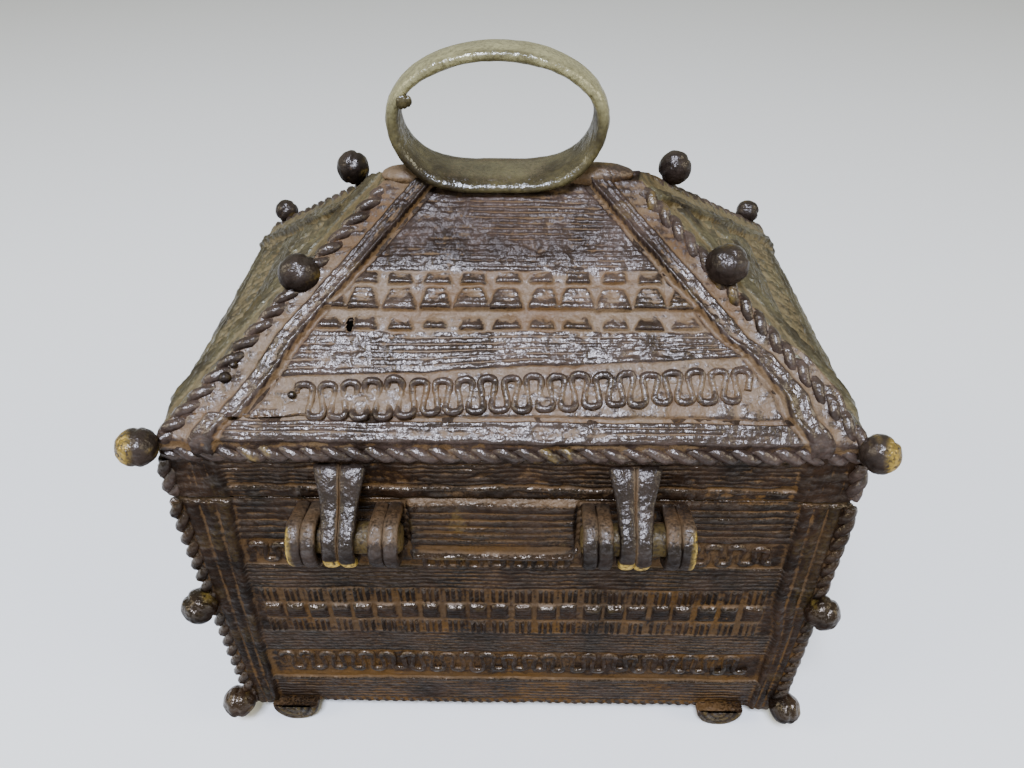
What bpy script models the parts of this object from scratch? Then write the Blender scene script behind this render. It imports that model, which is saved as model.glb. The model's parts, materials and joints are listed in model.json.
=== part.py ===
"""Reliquary casket in cast brass: a box wound from wax thread, with a hinged hip roof lid.

Front is -Y, where the two hinges are. +X is to the right and +Z is up.
The origin is at the middle of the whole outline, on the surface that the feet stand on.
"""

import math

import bmesh
import bpy
from mathutils import Matrix, Vector

MM = 0.001

# Box
BOX_WIDTH = 150 * MM
BOX_DEPTH = 96 * MM
BOX_HEIGHT = 85 * MM
WALL = 3 * MM
FLOOR = 3 * MM
WALL_BULGE = 1.2 * MM

# Feet, four rolled coils under the box
FOOT_HEIGHT = 5 * MM
FOOT_RADIUS = 6.5 * MM
FOOT_DEPTH = 10 * MM
FOOT_FLAT = 0.5 * MM
FOOT_FROM_END = 14 * MM
FOOT_PROUD = 1.5 * MM
FOOT_SIDES = 12

# Lid
LID_GAP = 0.3 * MM
FASCIA_HEIGHT = 18 * MM
ROOF_RISE = 39 * MM
RIDGE_FLAT = 4 * MM
EAVE_ROPE_RADIUS = 2.2 * MM
EAVE_ROPE_DROP = 4.8 * MM
EAVE_ROPE_ANGLES = (70, 30, -10, -50, -85)

# Relief that covers the walls and the roof
THREAD_PITCH = 3.1 * MM
THREAD_RISE = 0.5 * MM
GROUND_DEPTH = 0.2 * MM
LEDGE_RISE = 0.35 * MM
SINK = 0.8 * MM

# Bands on the walls, as heights above the foot of the wall
WALL_LINE_BAND = (13 * MM, 16 * MM)
WALL_LOW_SCROLL = (16 * MM, 27 * MM)
WALL_LOW_TICKS = (36.3 * MM, 41.5 * MM)
WALL_BLOCKS = (42.4 * MM, 48 * MM)
WALL_HIGH_TICKS = (49 * MM, 54 * MM)
WALL_HIGH_SCROLL = (62.9 * MM, 71.5 * MM)
WALL_BLOCK_PITCH = 5.8 * MM

# Bands on the roof, as distances up the slope from the eave
ROOF_LINE = 4.2 * MM
ROOF_SCROLL = (5.2 * MM, 15 * MM)
ROOF_LOW_BLOCKS = (23.7 * MM, 27.8 * MM)
ROOF_MID_BLOCKS = (28.7 * MM, 33.5 * MM)
ROOF_HIGH_BLOCKS = (34.5 * MM, 37 * MM)
ROOF_THREADS_TOP = 56 * MM
ROOF_BLOCK_PITCH = 7.8 * MM

BLOCK_RISE = 0.9 * MM
BLOCK_GAP = 1.5 * MM
BLOCK_SLOPE = 0.5 * MM
SCROLL_PITCH = 6.2 * MM
SCROLL_WIRE = 1.7 * MM
SCROLL_RISE = 0.9 * MM
SCROLL_SWING = 1.1 * MM
SCROLL_STEPS = 4

# Ropes and strips along the hips and the upright corners
CORNER_ROPE_RADIUS = 2.3 * MM
HIP_ROPE_RADIUS = 2.3 * MM
ROPE_PITCH = 4.8 * MM
ROPE_SWELL = 0.35 * MM
ROPE_SIDES = 4
ROPE_STAND = 0.7 * MM
HIP_ROPE_SHORT = 5.2 * MM
HIP_STRIP_WIDTH = 9.6 * MM
CORNER_STRIP_TOP = 10.5 * MM
CORNER_STRIP_BOTTOM = 7 * MM
STRIP_RISE = 1.1 * MM
STRIP_EDGE = 0.6 * MM
HIP_CREST_RISE = 1.7 * MM

# Balls
LID_BALL_RADIUS = 4.3 * MM
HIP_BALL_RADIUS = 4.6 * MM
BACK_BALL_RADIUS = 3.6 * MM
BOX_BALL_RADIUS = 4.5 * MM
BALL_SEGMENTS = 8
BALL_RINGS = 4
LID_BALL_OUT = 3 * MM
LID_BALL_DROP = 0.4 * MM
BOX_BALL_OUT = 3.3 * MM
MID_BALL_HEIGHT = 49 * MM
LOW_BALL_HEIGHT = 3.6 * MM
FRONT_HIP_BALL_ALONG = 46 * MM
BACK_HIP_BALL_ALONG = 61 * MM
BACK_CORNER_BALL_ALONG = 9 * MM
FRONT_HIP_BALL_STAND = 1.6 * MM
BACK_HIP_BALL_STAND = 4.8 * MM

# Ring handle, cast with the lid
RING_CENTER_X = -3.2 * MM
RING_OUTER_WIDTH = 48.6 * MM
RING_HEIGHT = 30.5 * MM
RING_THICKNESS = 2.6 * MM
RING_WIDTH_TOP = 9.5 * MM
RING_WIDTH_FOOT = 13 * MM
RING_SUNK = 3 * MM
RING_SEGMENTS = 26
RING_INNER_FLAT = 0.45
RING_OUTER_FLAT = 0.55

# Hinges
KNUCKLE_RADIUS = 6.8 * MM
KNUCKLE_WIDTH = 7 * MM
KNUCKLE_ARC_START = math.radians(105)
KNUCKLE_ARC_SWEEP = math.radians(210)
WEB_ABOVE_AXIS = 4 * MM
WEB_BELOW_AXIS = 9 * MM
PIN_RADIUS = 4 * MM
PIN_CLEARANCE = 0.3 * MM
HINGE_WALL_CLEARANCE = 0.3 * MM
HINGE_BELOW_RIM = 5.1 * MM
SLOT_WIDTH = 10.8 * MM
STRAP_WIDTH = 8.3 * MM
STRAP_SIDE_CLEARANCE = 0.4 * MM
STRAP_ROOT_DEPTH = 4 * MM
STRAP_ROOT_HEIGHT = 9 * MM
STRAP_RELIEF = 0.5 * MM
STRAP_LEAVES_RING = math.radians(60)
HINGE_CENTERS = (-36.3 * MM, 28 * MM)
PLATE_RISE = 1.6 * MM
PLATE_LIP = 1.2 * MM
ROUND_SIDES = 16

HALF_X = BOX_WIDTH / 2
HALF_Y = BOX_DEPTH / 2
WALL_FOOT_Z = FOOT_HEIGHT
WALL_TOP_Z = WALL_FOOT_Z + BOX_HEIGHT
RIM_Z = WALL_TOP_Z + LID_GAP
EAVE_Z = RIM_Z + FASCIA_HEIGHT
RIDGE_Z = EAVE_Z + ROOF_RISE
ROOF_ANGLE = math.atan2(ROOF_RISE, HALF_Y)
HINGE_Y = -(HALF_Y + KNUCKLE_RADIUS + HINGE_WALL_CLEARANCE)
HINGE_Z = WALL_TOP_Z - HINGE_BELOW_RIM
BORE_RADIUS = PIN_RADIUS + PIN_CLEARANCE


def remove_everything():
    for thing in list(bpy.data.objects):
        bpy.data.objects.remove(thing)


def brass(name, colour, roughness):
    material = bpy.data.materials.new(name)
    material.use_nodes = True
    shader = material.node_tree.nodes["Principled BSDF"]
    shader.inputs["Base Color"].default_value = colour
    shader.inputs["Metallic"].default_value = 0.8
    shader.inputs["Roughness"].default_value = roughness
    return material


def new_object(name, mesh_data):
    thing = bpy.data.objects.new(name, mesh_data)
    bpy.context.collection.objects.link(thing)
    return thing


def finish_mesh(bm, name):
    bmesh.ops.recalc_face_normals(bm, faces=bm.faces)
    mesh_data = bpy.data.meshes.new(name)
    bm.to_mesh(mesh_data)
    bm.free()
    return new_object(name, mesh_data)


def boolean(target, tool, operation):
    """Add or cut the tool, and keep the result as the target's own mesh."""
    modifier = target.modifiers.new("joint", "BOOLEAN")
    modifier.operation = operation
    modifier.solver = "EXACT"
    modifier.object = tool
    depsgraph = bpy.context.evaluated_depsgraph_get()
    result = bpy.data.meshes.new_from_object(target.evaluated_get(depsgraph))
    target.modifiers.clear()
    target.data = result
    bpy.data.objects.remove(tool)


def add_rings(bm, loops):
    """Skin a list of closed loops of points, and close both ends with a flat face."""
    rows = [[bm.verts.new(point) for point in loop] for loop in loops]
    count = len(rows[0])
    for lower, upper in zip(rows, rows[1:]):
        for i in range(count):
            j = (i + 1) % count
            bm.faces.new((lower[i], lower[j], upper[j], upper[i]))
    bm.faces.new(list(reversed(rows[0])))
    bm.faces.new(rows[-1])


def rectangle(half_x, half_y, z):
    corners = ((-half_x, -half_y), (half_x, -half_y), (half_x, half_y), (-half_x, half_y))
    return [Vector((x, y, z)) for x, y in corners]


def threads(start, end):
    """Section of a band of parallel threads: crests and grooves from start to end."""
    count = max(1, round((end - start) / THREAD_PITCH))
    step = (end - start) / count
    points = []
    for i in range(count):
        points.append((start + i * step, 0.0))
        points.append((start + (i + 0.5) * step, THREAD_RISE))
    points.append((end, 0.0))
    return points


def flat_band(band, rise):
    """Section of a plain band, a little inside its limits, so that bands never meet in a point."""
    low, high = band
    return [(low + STRIP_EDGE / 2, rise), (high - STRIP_EDGE / 2, rise)]


def wall_section():
    """Height above the wall's foot and relief, from the foot to the rim."""
    section = threads(0.0, WALL_LINE_BAND[0])
    section += flat_band(WALL_LINE_BAND, THREAD_RISE)
    section += flat_band(WALL_LOW_SCROLL, -GROUND_DEPTH)
    section += threads(WALL_LOW_SCROLL[1], WALL_LOW_TICKS[0])
    section += flat_band(WALL_LOW_TICKS, LEDGE_RISE)
    section += flat_band(WALL_BLOCKS, -GROUND_DEPTH)
    section += flat_band(WALL_HIGH_TICKS, LEDGE_RISE)
    section += threads(WALL_HIGH_TICKS[1], WALL_HIGH_SCROLL[0])
    section += flat_band(WALL_HIGH_SCROLL, -GROUND_DEPTH)
    section += threads(WALL_HIGH_SCROLL[1], BOX_HEIGHT)
    return section


def roof_section():
    """Distance up the slope from the eave and relief, from the eave to the ridge."""
    section = threads(0.0, ROOF_LINE)
    section += flat_band(ROOF_SCROLL, -GROUND_DEPTH)
    section += threads(ROOF_SCROLL[1], ROOF_LOW_BLOCKS[0])
    section += flat_band(ROOF_LOW_BLOCKS, -GROUND_DEPTH)
    section += flat_band(ROOF_MID_BLOCKS, -GROUND_DEPTH)
    section += flat_band(ROOF_HIGH_BLOCKS, -GROUND_DEPTH)
    section += threads(ROOF_HIGH_BLOCKS[1], ROOF_THREADS_TOP)
    return section


def bulge(height):
    return WALL_BULGE * math.sin(math.pi * height / BOX_HEIGHT)


def box_shell():
    """The box with its floor: underside, outer walls, rim, inner walls and inner floor."""
    loops = []
    for height, relief in wall_section():
        out = bulge(height) + relief
        loops.append(rectangle(HALF_X + out, HALF_Y + out, WALL_FOOT_Z + height))
    inner_x = HALF_X - WALL
    inner_y = HALF_Y - WALL
    loops.append(rectangle(inner_x, inner_y, WALL_TOP_Z))
    loops.append(rectangle(inner_x, inner_y, WALL_FOOT_Z + FLOOR))
    bm = bmesh.new()
    add_rings(bm, loops)
    return finish_mesh(bm, "casket_body")


def slope_loop(along, relief):
    """Rectangle round the roof, at a distance up the slope and a relief above it."""
    inset = along * math.cos(ROOF_ANGLE) - relief * math.sin(ROOF_ANGLE)
    z = EAVE_Z + along * math.sin(ROOF_ANGLE) + relief * math.cos(ROOF_ANGLE)
    return rectangle(HALF_X - inset, HALF_Y - inset, z)


def lid_shell():
    """The hollow lid: roof outside, rope at the eave, fascia, rim, and the same inside."""
    ridge_inset = HALF_Y - RIDGE_FLAT / 2
    loops = [slope_loop(ridge_inset / math.cos(ROOF_ANGLE), 0.0)]
    for along, relief in reversed(roof_section()):
        loops.append(slope_loop(along, relief))
    rope_z = EAVE_Z - EAVE_ROPE_DROP
    for degrees in EAVE_ROPE_ANGLES:
        turn = math.radians(degrees)
        out = EAVE_ROPE_RADIUS * math.cos(turn)
        z = rope_z + EAVE_ROPE_RADIUS * math.sin(turn)
        loops.append(rectangle(HALF_X + out, HALF_Y + out, z))
    fascia_top = rope_z - EAVE_ROPE_RADIUS - THREAD_RISE
    for height, relief in reversed(threads(0.0, fascia_top - RIM_Z)):
        loops.append(rectangle(HALF_X + relief, HALF_Y + relief, RIM_Z + height))
    inner_x = HALF_X - WALL
    inner_y = HALF_Y - WALL
    drop = WALL / math.cos(ROOF_ANGLE)
    inner_eave_z = EAVE_Z + WALL * math.tan(ROOF_ANGLE) - drop
    inner_ridge_z = EAVE_Z + ridge_inset * math.tan(ROOF_ANGLE) - drop
    loops.append(rectangle(inner_x, inner_y, RIM_Z))
    loops.append(rectangle(inner_x, inner_y, inner_eave_z))
    loops.append(rectangle(HALF_X - ridge_inset, HALF_Y - ridge_inset, inner_ridge_z))
    bm = bmesh.new()
    add_rings(bm, loops)
    return finish_mesh(bm, "casket_lid")


def side_turn(side):
    """Turn that takes the front to one of the four sides."""
    quarter_turns = {"front": 0, "right": 1, "back": 2, "left": 3}
    return Matrix.Rotation(quarter_turns[side] * math.pi / 2, 4, "Z")


def side_reach(side):
    """Half length of a side and its distance from the middle of the box."""
    if side in ("front", "back"):
        return HALF_X, HALF_Y
    return HALF_Y, HALF_X


def wall_frame(side):
    """Frame on a wall: first axis along it, second up it, third out of it."""
    across = Vector((1, 0, 0))
    upwards = Vector((0, 0, 1))
    outwards = Vector((0, -1, 0))
    frame = Matrix((across, upwards, outwards)).transposed().to_4x4()
    frame.translation = (0, -side_reach(side)[1], WALL_FOOT_Z)
    return side_turn(side) @ frame


def roof_frame(side):
    """Frame on a roof face: first axis along the eave, second up the slope, third out of it."""
    across = Vector((1, 0, 0))
    upwards = Vector((0, math.cos(ROOF_ANGLE), math.sin(ROOF_ANGLE)))
    outwards = Vector((0, -math.sin(ROOF_ANGLE), math.cos(ROOF_ANGLE)))
    frame = Matrix((across, upwards, outwards)).transposed().to_4x4()
    frame.translation = (0, -side_reach(side)[1], EAVE_Z)
    return side_turn(side) @ frame


def add_block(bm, frame, center, band, width, lift):
    """One raised block with sloping sides, sunk into the face below it."""
    low, high = band
    loops = []
    for level, inset in ((-SINK, 0.0), (BLOCK_RISE, BLOCK_SLOPE)):
        left = center - width / 2 + inset
        right = center + width / 2 - inset
        bottom = low + STRIP_EDGE / 2 + inset
        top = high - STRIP_EDGE / 2 - inset
        corners = ((left, bottom), (right, bottom), (right, top), (left, top))
        loops.append([frame @ Vector((x, y, lift + level)) for x, y in corners])
    add_rings(bm, loops)


def add_block_row(bm, frame, band, half_length, pitch, lift):
    count = int(2 * half_length / pitch)
    for i in range(count):
        center = (i - (count - 1) / 2) * pitch
        add_block(bm, frame, center, band, pitch - BLOCK_GAP, lift)


def scroll_points(band, start, end):
    """Centre line of a wire bent to and fro in round loops, between two places on a side."""
    low, high = band
    middle = (low + high) / 2
    swing = (high - low - SCROLL_WIRE) / 2 - STRIP_EDGE
    waves = max(1, int((end - start) / SCROLL_PITCH))
    first = (start + end - waves * SCROLL_PITCH) / 2
    points = []
    for i in range(waves * SCROLL_STEPS):
        share = (i + 0.5) / SCROLL_STEPS
        turn = 2 * math.pi * share
        x = first + share * SCROLL_PITCH - SCROLL_SWING * math.sin(2 * turn)
        side = 1 if math.sin(turn) > 0 else -1
        points.append(Vector((x, middle + side * swing, 0.0)))
    return points


def add_scroll(bm, frame, band, start, end, lift):
    """A wire of three-sided section along the scroll's centre line, half sunk in the face."""
    points = scroll_points(band, start, end)
    loops = []
    for i, point in enumerate(points):
        before = points[max(i - 1, 0)]
        after = points[min(i + 1, len(points) - 1)]
        along = (after - before).normalized()
        sideways = Vector((-along.y, along.x, 0.0)) * (SCROLL_WIRE / 2)
        low = Vector((0, 0, lift - SINK))
        high = Vector((0, 0, lift + SCROLL_RISE))
        corners = (point - sideways + low, point + sideways + low, point + high)
        loops.append([frame @ corner for corner in corners])
    add_rings(bm, loops)


def wall_clear_half(side, height):
    """Half the length of a wall between its two corner strips, at a height."""
    share = height / BOX_HEIGHT
    strip = CORNER_STRIP_BOTTOM + (CORNER_STRIP_TOP - CORNER_STRIP_BOTTOM) * share
    return side_reach(side)[0] - strip - STRIP_EDGE


def roof_clear_half(side, along):
    """Half the length of a roof face between its hip strips, at a distance up the slope."""
    strip = HIP_STRIP_WIDTH / math.cos(hip_lean())
    return side_reach(side)[0] - along * math.cos(ROOF_ANGLE) - strip - STRIP_EDGE


def hip_lean():
    """Angle on a roof face between its hip and the line straight up the slope."""
    return math.atan(math.cos(ROOF_ANGLE))


def band_middle(band):
    return (band[0] + band[1]) / 2


def box_ornament():
    """The row of blocks and the two scrolls of the front; the other walls keep plain bands."""
    bm = bmesh.new()
    front = wall_frame("front")
    middle = band_middle(WALL_BLOCKS)
    half = wall_clear_half("front", middle)
    add_block_row(bm, front, WALL_BLOCKS, half, WALL_BLOCK_PITCH, bulge(middle))
    middle = band_middle(WALL_LOW_SCROLL)
    half = wall_clear_half("front", middle)
    add_scroll(bm, front, WALL_LOW_SCROLL, -half, half, bulge(middle))
    middle = band_middle(WALL_HIGH_SCROLL)
    half = wall_clear_half("front", middle)
    left_end = HINGE_CENTERS[0] - hinge_length() / 2 - STRIP_EDGE
    right_start = HINGE_CENTERS[1] + hinge_length() / 2 + STRIP_EDGE
    add_scroll(bm, front, WALL_HIGH_SCROLL, -half, left_end, bulge(middle))
    add_scroll(bm, front, WALL_HIGH_SCROLL, right_start, half, bulge(middle))
    return finish_mesh(bm, "box_ornament")


def lid_ornament():
    """Three rows of blocks and a scroll on the front of the roof, and one row on the back."""
    bm = bmesh.new()
    for band in (ROOF_LOW_BLOCKS, ROOF_MID_BLOCKS, ROOF_HIGH_BLOCKS):
        half = roof_clear_half("front", ROOF_LOW_BLOCKS[0])
        add_block_row(bm, roof_frame("front"), band, half, ROOF_BLOCK_PITCH, 0.0)
    half = roof_clear_half("back", ROOF_MID_BLOCKS[0])
    add_block_row(bm, roof_frame("back"), ROOF_MID_BLOCKS, half, ROOF_BLOCK_PITCH, 0.0)
    half = roof_clear_half("front", ROOF_SCROLL[1])
    add_scroll(bm, roof_frame("front"), ROOF_SCROLL, -half, half, 0.0)
    return finish_mesh(bm, "lid_ornament")


def add_prism(bm, outline, start, end):
    """A straight bar: one outline of points, shifted to both of its ends."""
    add_rings(bm, [[point + start for point in outline], [point + end for point in outline]])


def corner_signs():
    return ((-1, -1), (1, -1), (1, 1), (-1, 1))


def corner_strip(sign_x, sign_y):
    """Raised L-shaped strip on an upright corner of the box, wider at the top."""
    bm = bmesh.new()
    loops = []
    steps = 6
    for i in range(steps + 1):
        height = BOX_HEIGHT * i / steps
        width = CORNER_STRIP_BOTTOM + (CORNER_STRIP_TOP - CORNER_STRIP_BOTTOM) * i / steps
        rise = bulge(height) + STRIP_RISE
        loops.append(l_outline(sign_x, sign_y, width, rise, WALL_FOOT_Z + height))
    add_rings(bm, loops)
    return finish_mesh(bm, "corner_strip")


def l_outline(sign_x, sign_y, width, rise, z):
    """Section of a strip that goes round a corner: up one wall, back inside it."""
    outline = (
        (rise, rise),
        (rise, STRIP_EDGE - width),
        (-SINK, -width),
        (-SINK, -SINK),
        (-width, -SINK),
        (STRIP_EDGE - width, rise),
    )
    points = []
    for out_x, out_y in outline:
        points.append(Vector((sign_x * (HALF_X + out_x), sign_y * (HALF_Y + out_y), z)))
    return points


def fascia_strip(sign_x, sign_y):
    """The hip strip's lower end, turned down over the corner of the fascia."""
    bm = bmesh.new()
    loops = []
    for z in (RIM_Z + STRIP_EDGE, EAVE_Z - STRIP_EDGE):
        loops.append(l_outline(sign_x, sign_y, CORNER_STRIP_TOP, STRIP_RISE, z))
    add_rings(bm, loops)
    return finish_mesh(bm, "fascia_strip")


def hip_ends(sign_x, sign_y):
    """The two ends of a hip line: at the eave's corner and at the ridge's end."""
    low = Vector((sign_x * HALF_X, sign_y * HALF_Y, EAVE_Z))
    high = Vector((sign_x * (HALF_X - HALF_Y), 0, RIDGE_Z))
    return low, high


def hip_strip(sign_x, sign_y):
    """Raised strips on both sides of a hip, as one bar over it."""
    low, high = hip_ends(sign_x, sign_y)
    along = (high - low).normalized()
    on_long = (Vector((-sign_x, 0, 0)) - along * along.dot(Vector((-sign_x, 0, 0)))).normalized()
    on_short = (Vector((0, -sign_y, 0)) - along * along.dot(Vector((0, -sign_y, 0)))).normalized()
    outwards = -(on_long + on_short).normalized()
    long_normal = face_normal(on_long, along, outwards)
    short_normal = face_normal(on_short, along, outwards)
    crest = HIP_STRIP_WIDTH - STRIP_EDGE
    outline = [
        outwards * HIP_CREST_RISE,
        on_long * crest + long_normal * STRIP_RISE,
        on_long * HIP_STRIP_WIDTH - long_normal * SINK,
        -outwards * HIP_CREST_RISE,
        on_short * HIP_STRIP_WIDTH - short_normal * SINK,
        on_short * crest + short_normal * STRIP_RISE,
    ]
    bm = bmesh.new()
    add_prism(bm, outline, low + along * STRIP_RISE, high - along * RIDGE_FLAT)
    return finish_mesh(bm, "hip_strip")


def face_normal(across, along, outwards):
    """Unit normal of the roof face that holds both directions, pointing out of the roof."""
    normal = across.cross(along).normalized()
    if normal.dot(outwards) < 0:
        normal = -normal
    return normal


def rope(start, end, radius):
    """A twisted rope, as a bar that swells and narrows once for each turn."""
    along = end - start
    turns = max(1, round(along.length / ROPE_PITCH))
    frame = along.to_track_quat("Z", "Y").to_matrix()
    loops = []
    for i in range(2 * turns + 1):
        grow = ROPE_SWELL if i % 2 else -ROPE_SWELL
        center = start + along * (i / (2 * turns))
        loop = []
        for k in range(ROPE_SIDES):
            turn = 2 * math.pi * k / ROPE_SIDES
            spoke = Vector((math.cos(turn), math.sin(turn), 0.0)) * (radius + grow)
            loop.append(center + frame @ spoke)
        loops.append(loop)
    bm = bmesh.new()
    add_rings(bm, loops)
    return finish_mesh(bm, "rope")


def add_ball(bm, center, radius):
    place = Matrix.Translation(center)
    bmesh.ops.create_uvsphere(
        bm, u_segments=BALL_SEGMENTS, v_segments=BALL_RINGS, radius=radius, matrix=place
    )


def hip_ball_place(sign_x, sign_y, along, stand):
    """A point that far up a hip from its corner, and that high above it."""
    low, high = hip_ends(sign_x, sign_y)
    direction = (high - low).normalized()
    upwards = (Vector((0, 0, 1)) - direction * direction.z).normalized()
    return low + direction * along + upwards * stand


def lid_balls():
    bm = bmesh.new()
    for sign_x in (-1, 1):
        corner = Vector(
            (sign_x * (HALF_X + LID_BALL_OUT), -(HALF_Y + LID_BALL_OUT), EAVE_Z - LID_BALL_DROP)
        )
        add_ball(bm, corner, LID_BALL_RADIUS)
        front = hip_ball_place(sign_x, -1, FRONT_HIP_BALL_ALONG, FRONT_HIP_BALL_STAND)
        add_ball(bm, front, HIP_BALL_RADIUS)
        back = hip_ball_place(sign_x, 1, BACK_HIP_BALL_ALONG, BACK_HIP_BALL_STAND)
        add_ball(bm, back, HIP_BALL_RADIUS)
        low = hip_ball_place(sign_x, 1, BACK_CORNER_BALL_ALONG, BACK_HIP_BALL_STAND)
        add_ball(bm, low, BACK_BALL_RADIUS)
    return finish_mesh(bm, "lid_balls")


def box_balls():
    bm = bmesh.new()
    for sign_x, sign_y in corner_signs():
        for height in (LOW_BALL_HEIGHT, MID_BALL_HEIGHT):
            out = BOX_BALL_OUT
            place = (sign_x * (HALF_X + out), sign_y * (HALF_Y + out), WALL_FOOT_Z + height)
            add_ball(bm, Vector(place), BOX_BALL_RADIUS)
    return finish_mesh(bm, "box_balls")


def add_round(bm, center_x, width, center_y, center_z, radius, sides):
    """A round bar along X."""
    loops = []
    for x in (center_x - width / 2, center_x + width / 2):
        loop = []
        for k in range(sides):
            turn = 2 * math.pi * k / sides
            y = center_y + radius * math.cos(turn)
            z = center_z + radius * math.sin(turn)
            loop.append(Vector((x, y, z)))
        loops.append(loop)
    add_rings(bm, loops)


def feet():
    """Four rolled coils, each with a small flat where it stands."""
    bm = bmesh.new()
    center_z = FOOT_RADIUS - FOOT_FLAT
    for sign_x, sign_y in corner_signs():
        center_x = sign_x * (HALF_X - FOOT_FROM_END)
        far_y = sign_y * (HALF_Y + FOOT_PROUD)
        near_y = far_y - sign_y * FOOT_DEPTH
        loops = []
        for y in (far_y, near_y):
            loop = []
            for k in range(FOOT_SIDES):
                turn = 2 * math.pi * (k + 0.5) / FOOT_SIDES
                x = center_x + FOOT_RADIUS * math.cos(turn)
                z = max(0.0, center_z + FOOT_RADIUS * math.sin(turn))
                loop.append(Vector((x, y, min(z, WALL_FOOT_Z + FLOOR / 2))))
            loops.append(loop)
        add_rings(bm, loops)
    return finish_mesh(bm, "feet")


def knuckle_centers():
    """Middle of each of the box's four knuckles."""
    reach = (SLOT_WIDTH + KNUCKLE_WIDTH) / 2
    return [center + sign * reach for center in HINGE_CENTERS for sign in (-1, 1)]


def strap_center(hinge_center):
    """Each strap lies at the left of its slot, as the casting left it."""
    return hinge_center - SLOT_WIDTH / 2 + STRAP_SIDE_CLEARANCE + STRAP_WIDTH / 2


def knuckles():
    """The box's knuckles, each on a web that ties it to the wall."""
    bm = bmesh.new()
    for center in knuckle_centers():
        outline = []
        for k in range(ROUND_SIDES + 1):
            turn = KNUCKLE_ARC_START + KNUCKLE_ARC_SWEEP * k / ROUND_SIDES
            y = HINGE_Y + KNUCKLE_RADIUS * math.cos(turn)
            z = HINGE_Z + KNUCKLE_RADIUS * math.sin(turn)
            outline.append((y, z))
        web_top = min(HINGE_Z + WEB_ABOVE_AXIS, WALL_TOP_Z - LID_GAP)
        web_bottom = HINGE_Z - WEB_BELOW_AXIS
        outline.append((-HALF_Y + SINK, web_bottom))
        outline.append((-HALF_Y + SINK, web_top))
        outline.append((-HALF_Y - STRIP_EDGE, web_top))
        loops = []
        for x in (center - KNUCKLE_WIDTH / 2, center + KNUCKLE_WIDTH / 2):
            loops.append([Vector((x, y, z)) for y, z in outline])
        add_rings(bm, loops)
    return finish_mesh(bm, "knuckles")


def hinge_plate():
    """Raised plate of threads on the front wall, between the two inner knuckles."""
    inner = knuckle_centers()[1:3]
    left = inner[0] + KNUCKLE_WIDTH / 2 + HINGE_WALL_CLEARANCE
    right = inner[1] - KNUCKLE_WIDTH / 2 - HINGE_WALL_CLEARANCE
    low = WALL_FOOT_Z + band_middle(WALL_HIGH_SCROLL)
    high = WALL_TOP_Z - STRIP_EDGE
    face_y = -(HALF_Y + bulge(band_middle(WALL_HIGH_SCROLL)))
    outline = (
        (-HALF_Y + SINK, low),
        (face_y - PLATE_RISE, low),
        (face_y - PLATE_RISE - PLATE_LIP, low + PLATE_LIP),
        (face_y - PLATE_RISE, low + 2 * PLATE_LIP),
        (face_y - PLATE_RISE, high - PLATE_LIP),
        (face_y - STRIP_EDGE, high),
        (-HALF_Y + SINK, high),
    )
    bm = bmesh.new()
    loops = [[Vector((x, y, z)) for y, z in outline] for x in (left, right)]
    add_rings(bm, loops)
    return finish_mesh(bm, "hinge_plate")


def rounds_on_axis(spans, radius):
    """Round bars on the hinge axis, one for each middle and width."""
    bm = bmesh.new()
    for center, width in spans:
        add_round(bm, center, width, HINGE_Y, HINGE_Z, radius, ROUND_SIDES)
    return finish_mesh(bm, "rounds_on_axis")


def hinge_length():
    return SLOT_WIDTH + 2 * KNUCKLE_WIDTH


def straps():
    """The lid's two straps: from the fascia out and down, then round the pin."""
    bm = bmesh.new()
    for hinge_center in HINGE_CENTERS:
        center = strap_center(hinge_center)
        root_z = EAVE_Z - STRAP_ROOT_HEIGHT
        root_y = -HALF_Y + SINK
        reach_y = root_y - HINGE_Y
        reach_z = root_z - HINGE_Z
        distance = math.hypot(reach_y, reach_z)
        start = math.atan2(reach_z, reach_y) + math.acos(KNUCKLE_RADIUS / distance)
        sweep = 2 * math.pi + STRAP_LEAVES_RING - start
        outline = [(root_y, root_z)]
        for k in range(ROUND_SIDES + 1):
            turn = start + sweep * k / ROUND_SIDES
            y = HINGE_Y + KNUCKLE_RADIUS * math.cos(turn)
            z = HINGE_Z + KNUCKLE_RADIUS * math.sin(turn)
            outline.append((y, z))
        outline.append((root_y, root_z - STRAP_ROOT_DEPTH))
        loops = []
        for x in (center - STRAP_WIDTH / 2, center + STRAP_WIDTH / 2):
            loops.append([Vector((x, y, z)) for y, z in outline])
        add_rings(bm, loops)
    return finish_mesh(bm, "straps")


def ring_handle():
    """Oval ring: a flattened wire, wider where it joins the ridge."""
    center_z = RIDGE_Z - RING_SUNK + RING_HEIGHT / 2
    bm = bmesh.new()
    rows = []
    for i in range(RING_SEGMENTS):
        turn = 2 * math.pi * i / RING_SEGMENTS
        share = (1 + math.sin(turn)) / 2
        half_width = (RING_WIDTH_FOOT + (RING_WIDTH_TOP - RING_WIDTH_FOOT) * share) / 2
        outline = (
            (0.0, half_width * RING_OUTER_FLAT),
            (RING_THICKNESS / 2, half_width),
            (RING_THICKNESS, half_width * RING_INNER_FLAT),
            (RING_THICKNESS, -half_width * RING_INNER_FLAT),
            (RING_THICKNESS / 2, -half_width),
            (0.0, -half_width * RING_OUTER_FLAT),
        )
        row = []
        for depth, y in outline:
            reach_x = RING_OUTER_WIDTH / 2 - depth
            reach_z = RING_HEIGHT / 2 - depth
            x = RING_CENTER_X + reach_x * math.cos(turn)
            z = center_z + reach_z * math.sin(turn)
            row.append(bm.verts.new((x, y, z)))
        rows.append(row)
    for i, row in enumerate(rows):
        following = rows[(i + 1) % RING_SEGMENTS]
        for k in range(len(row)):
            n = (k + 1) % len(row)
            bm.faces.new((row[k], row[n], following[n], following[k]))
    return finish_mesh(bm, "ring_handle")


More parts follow.
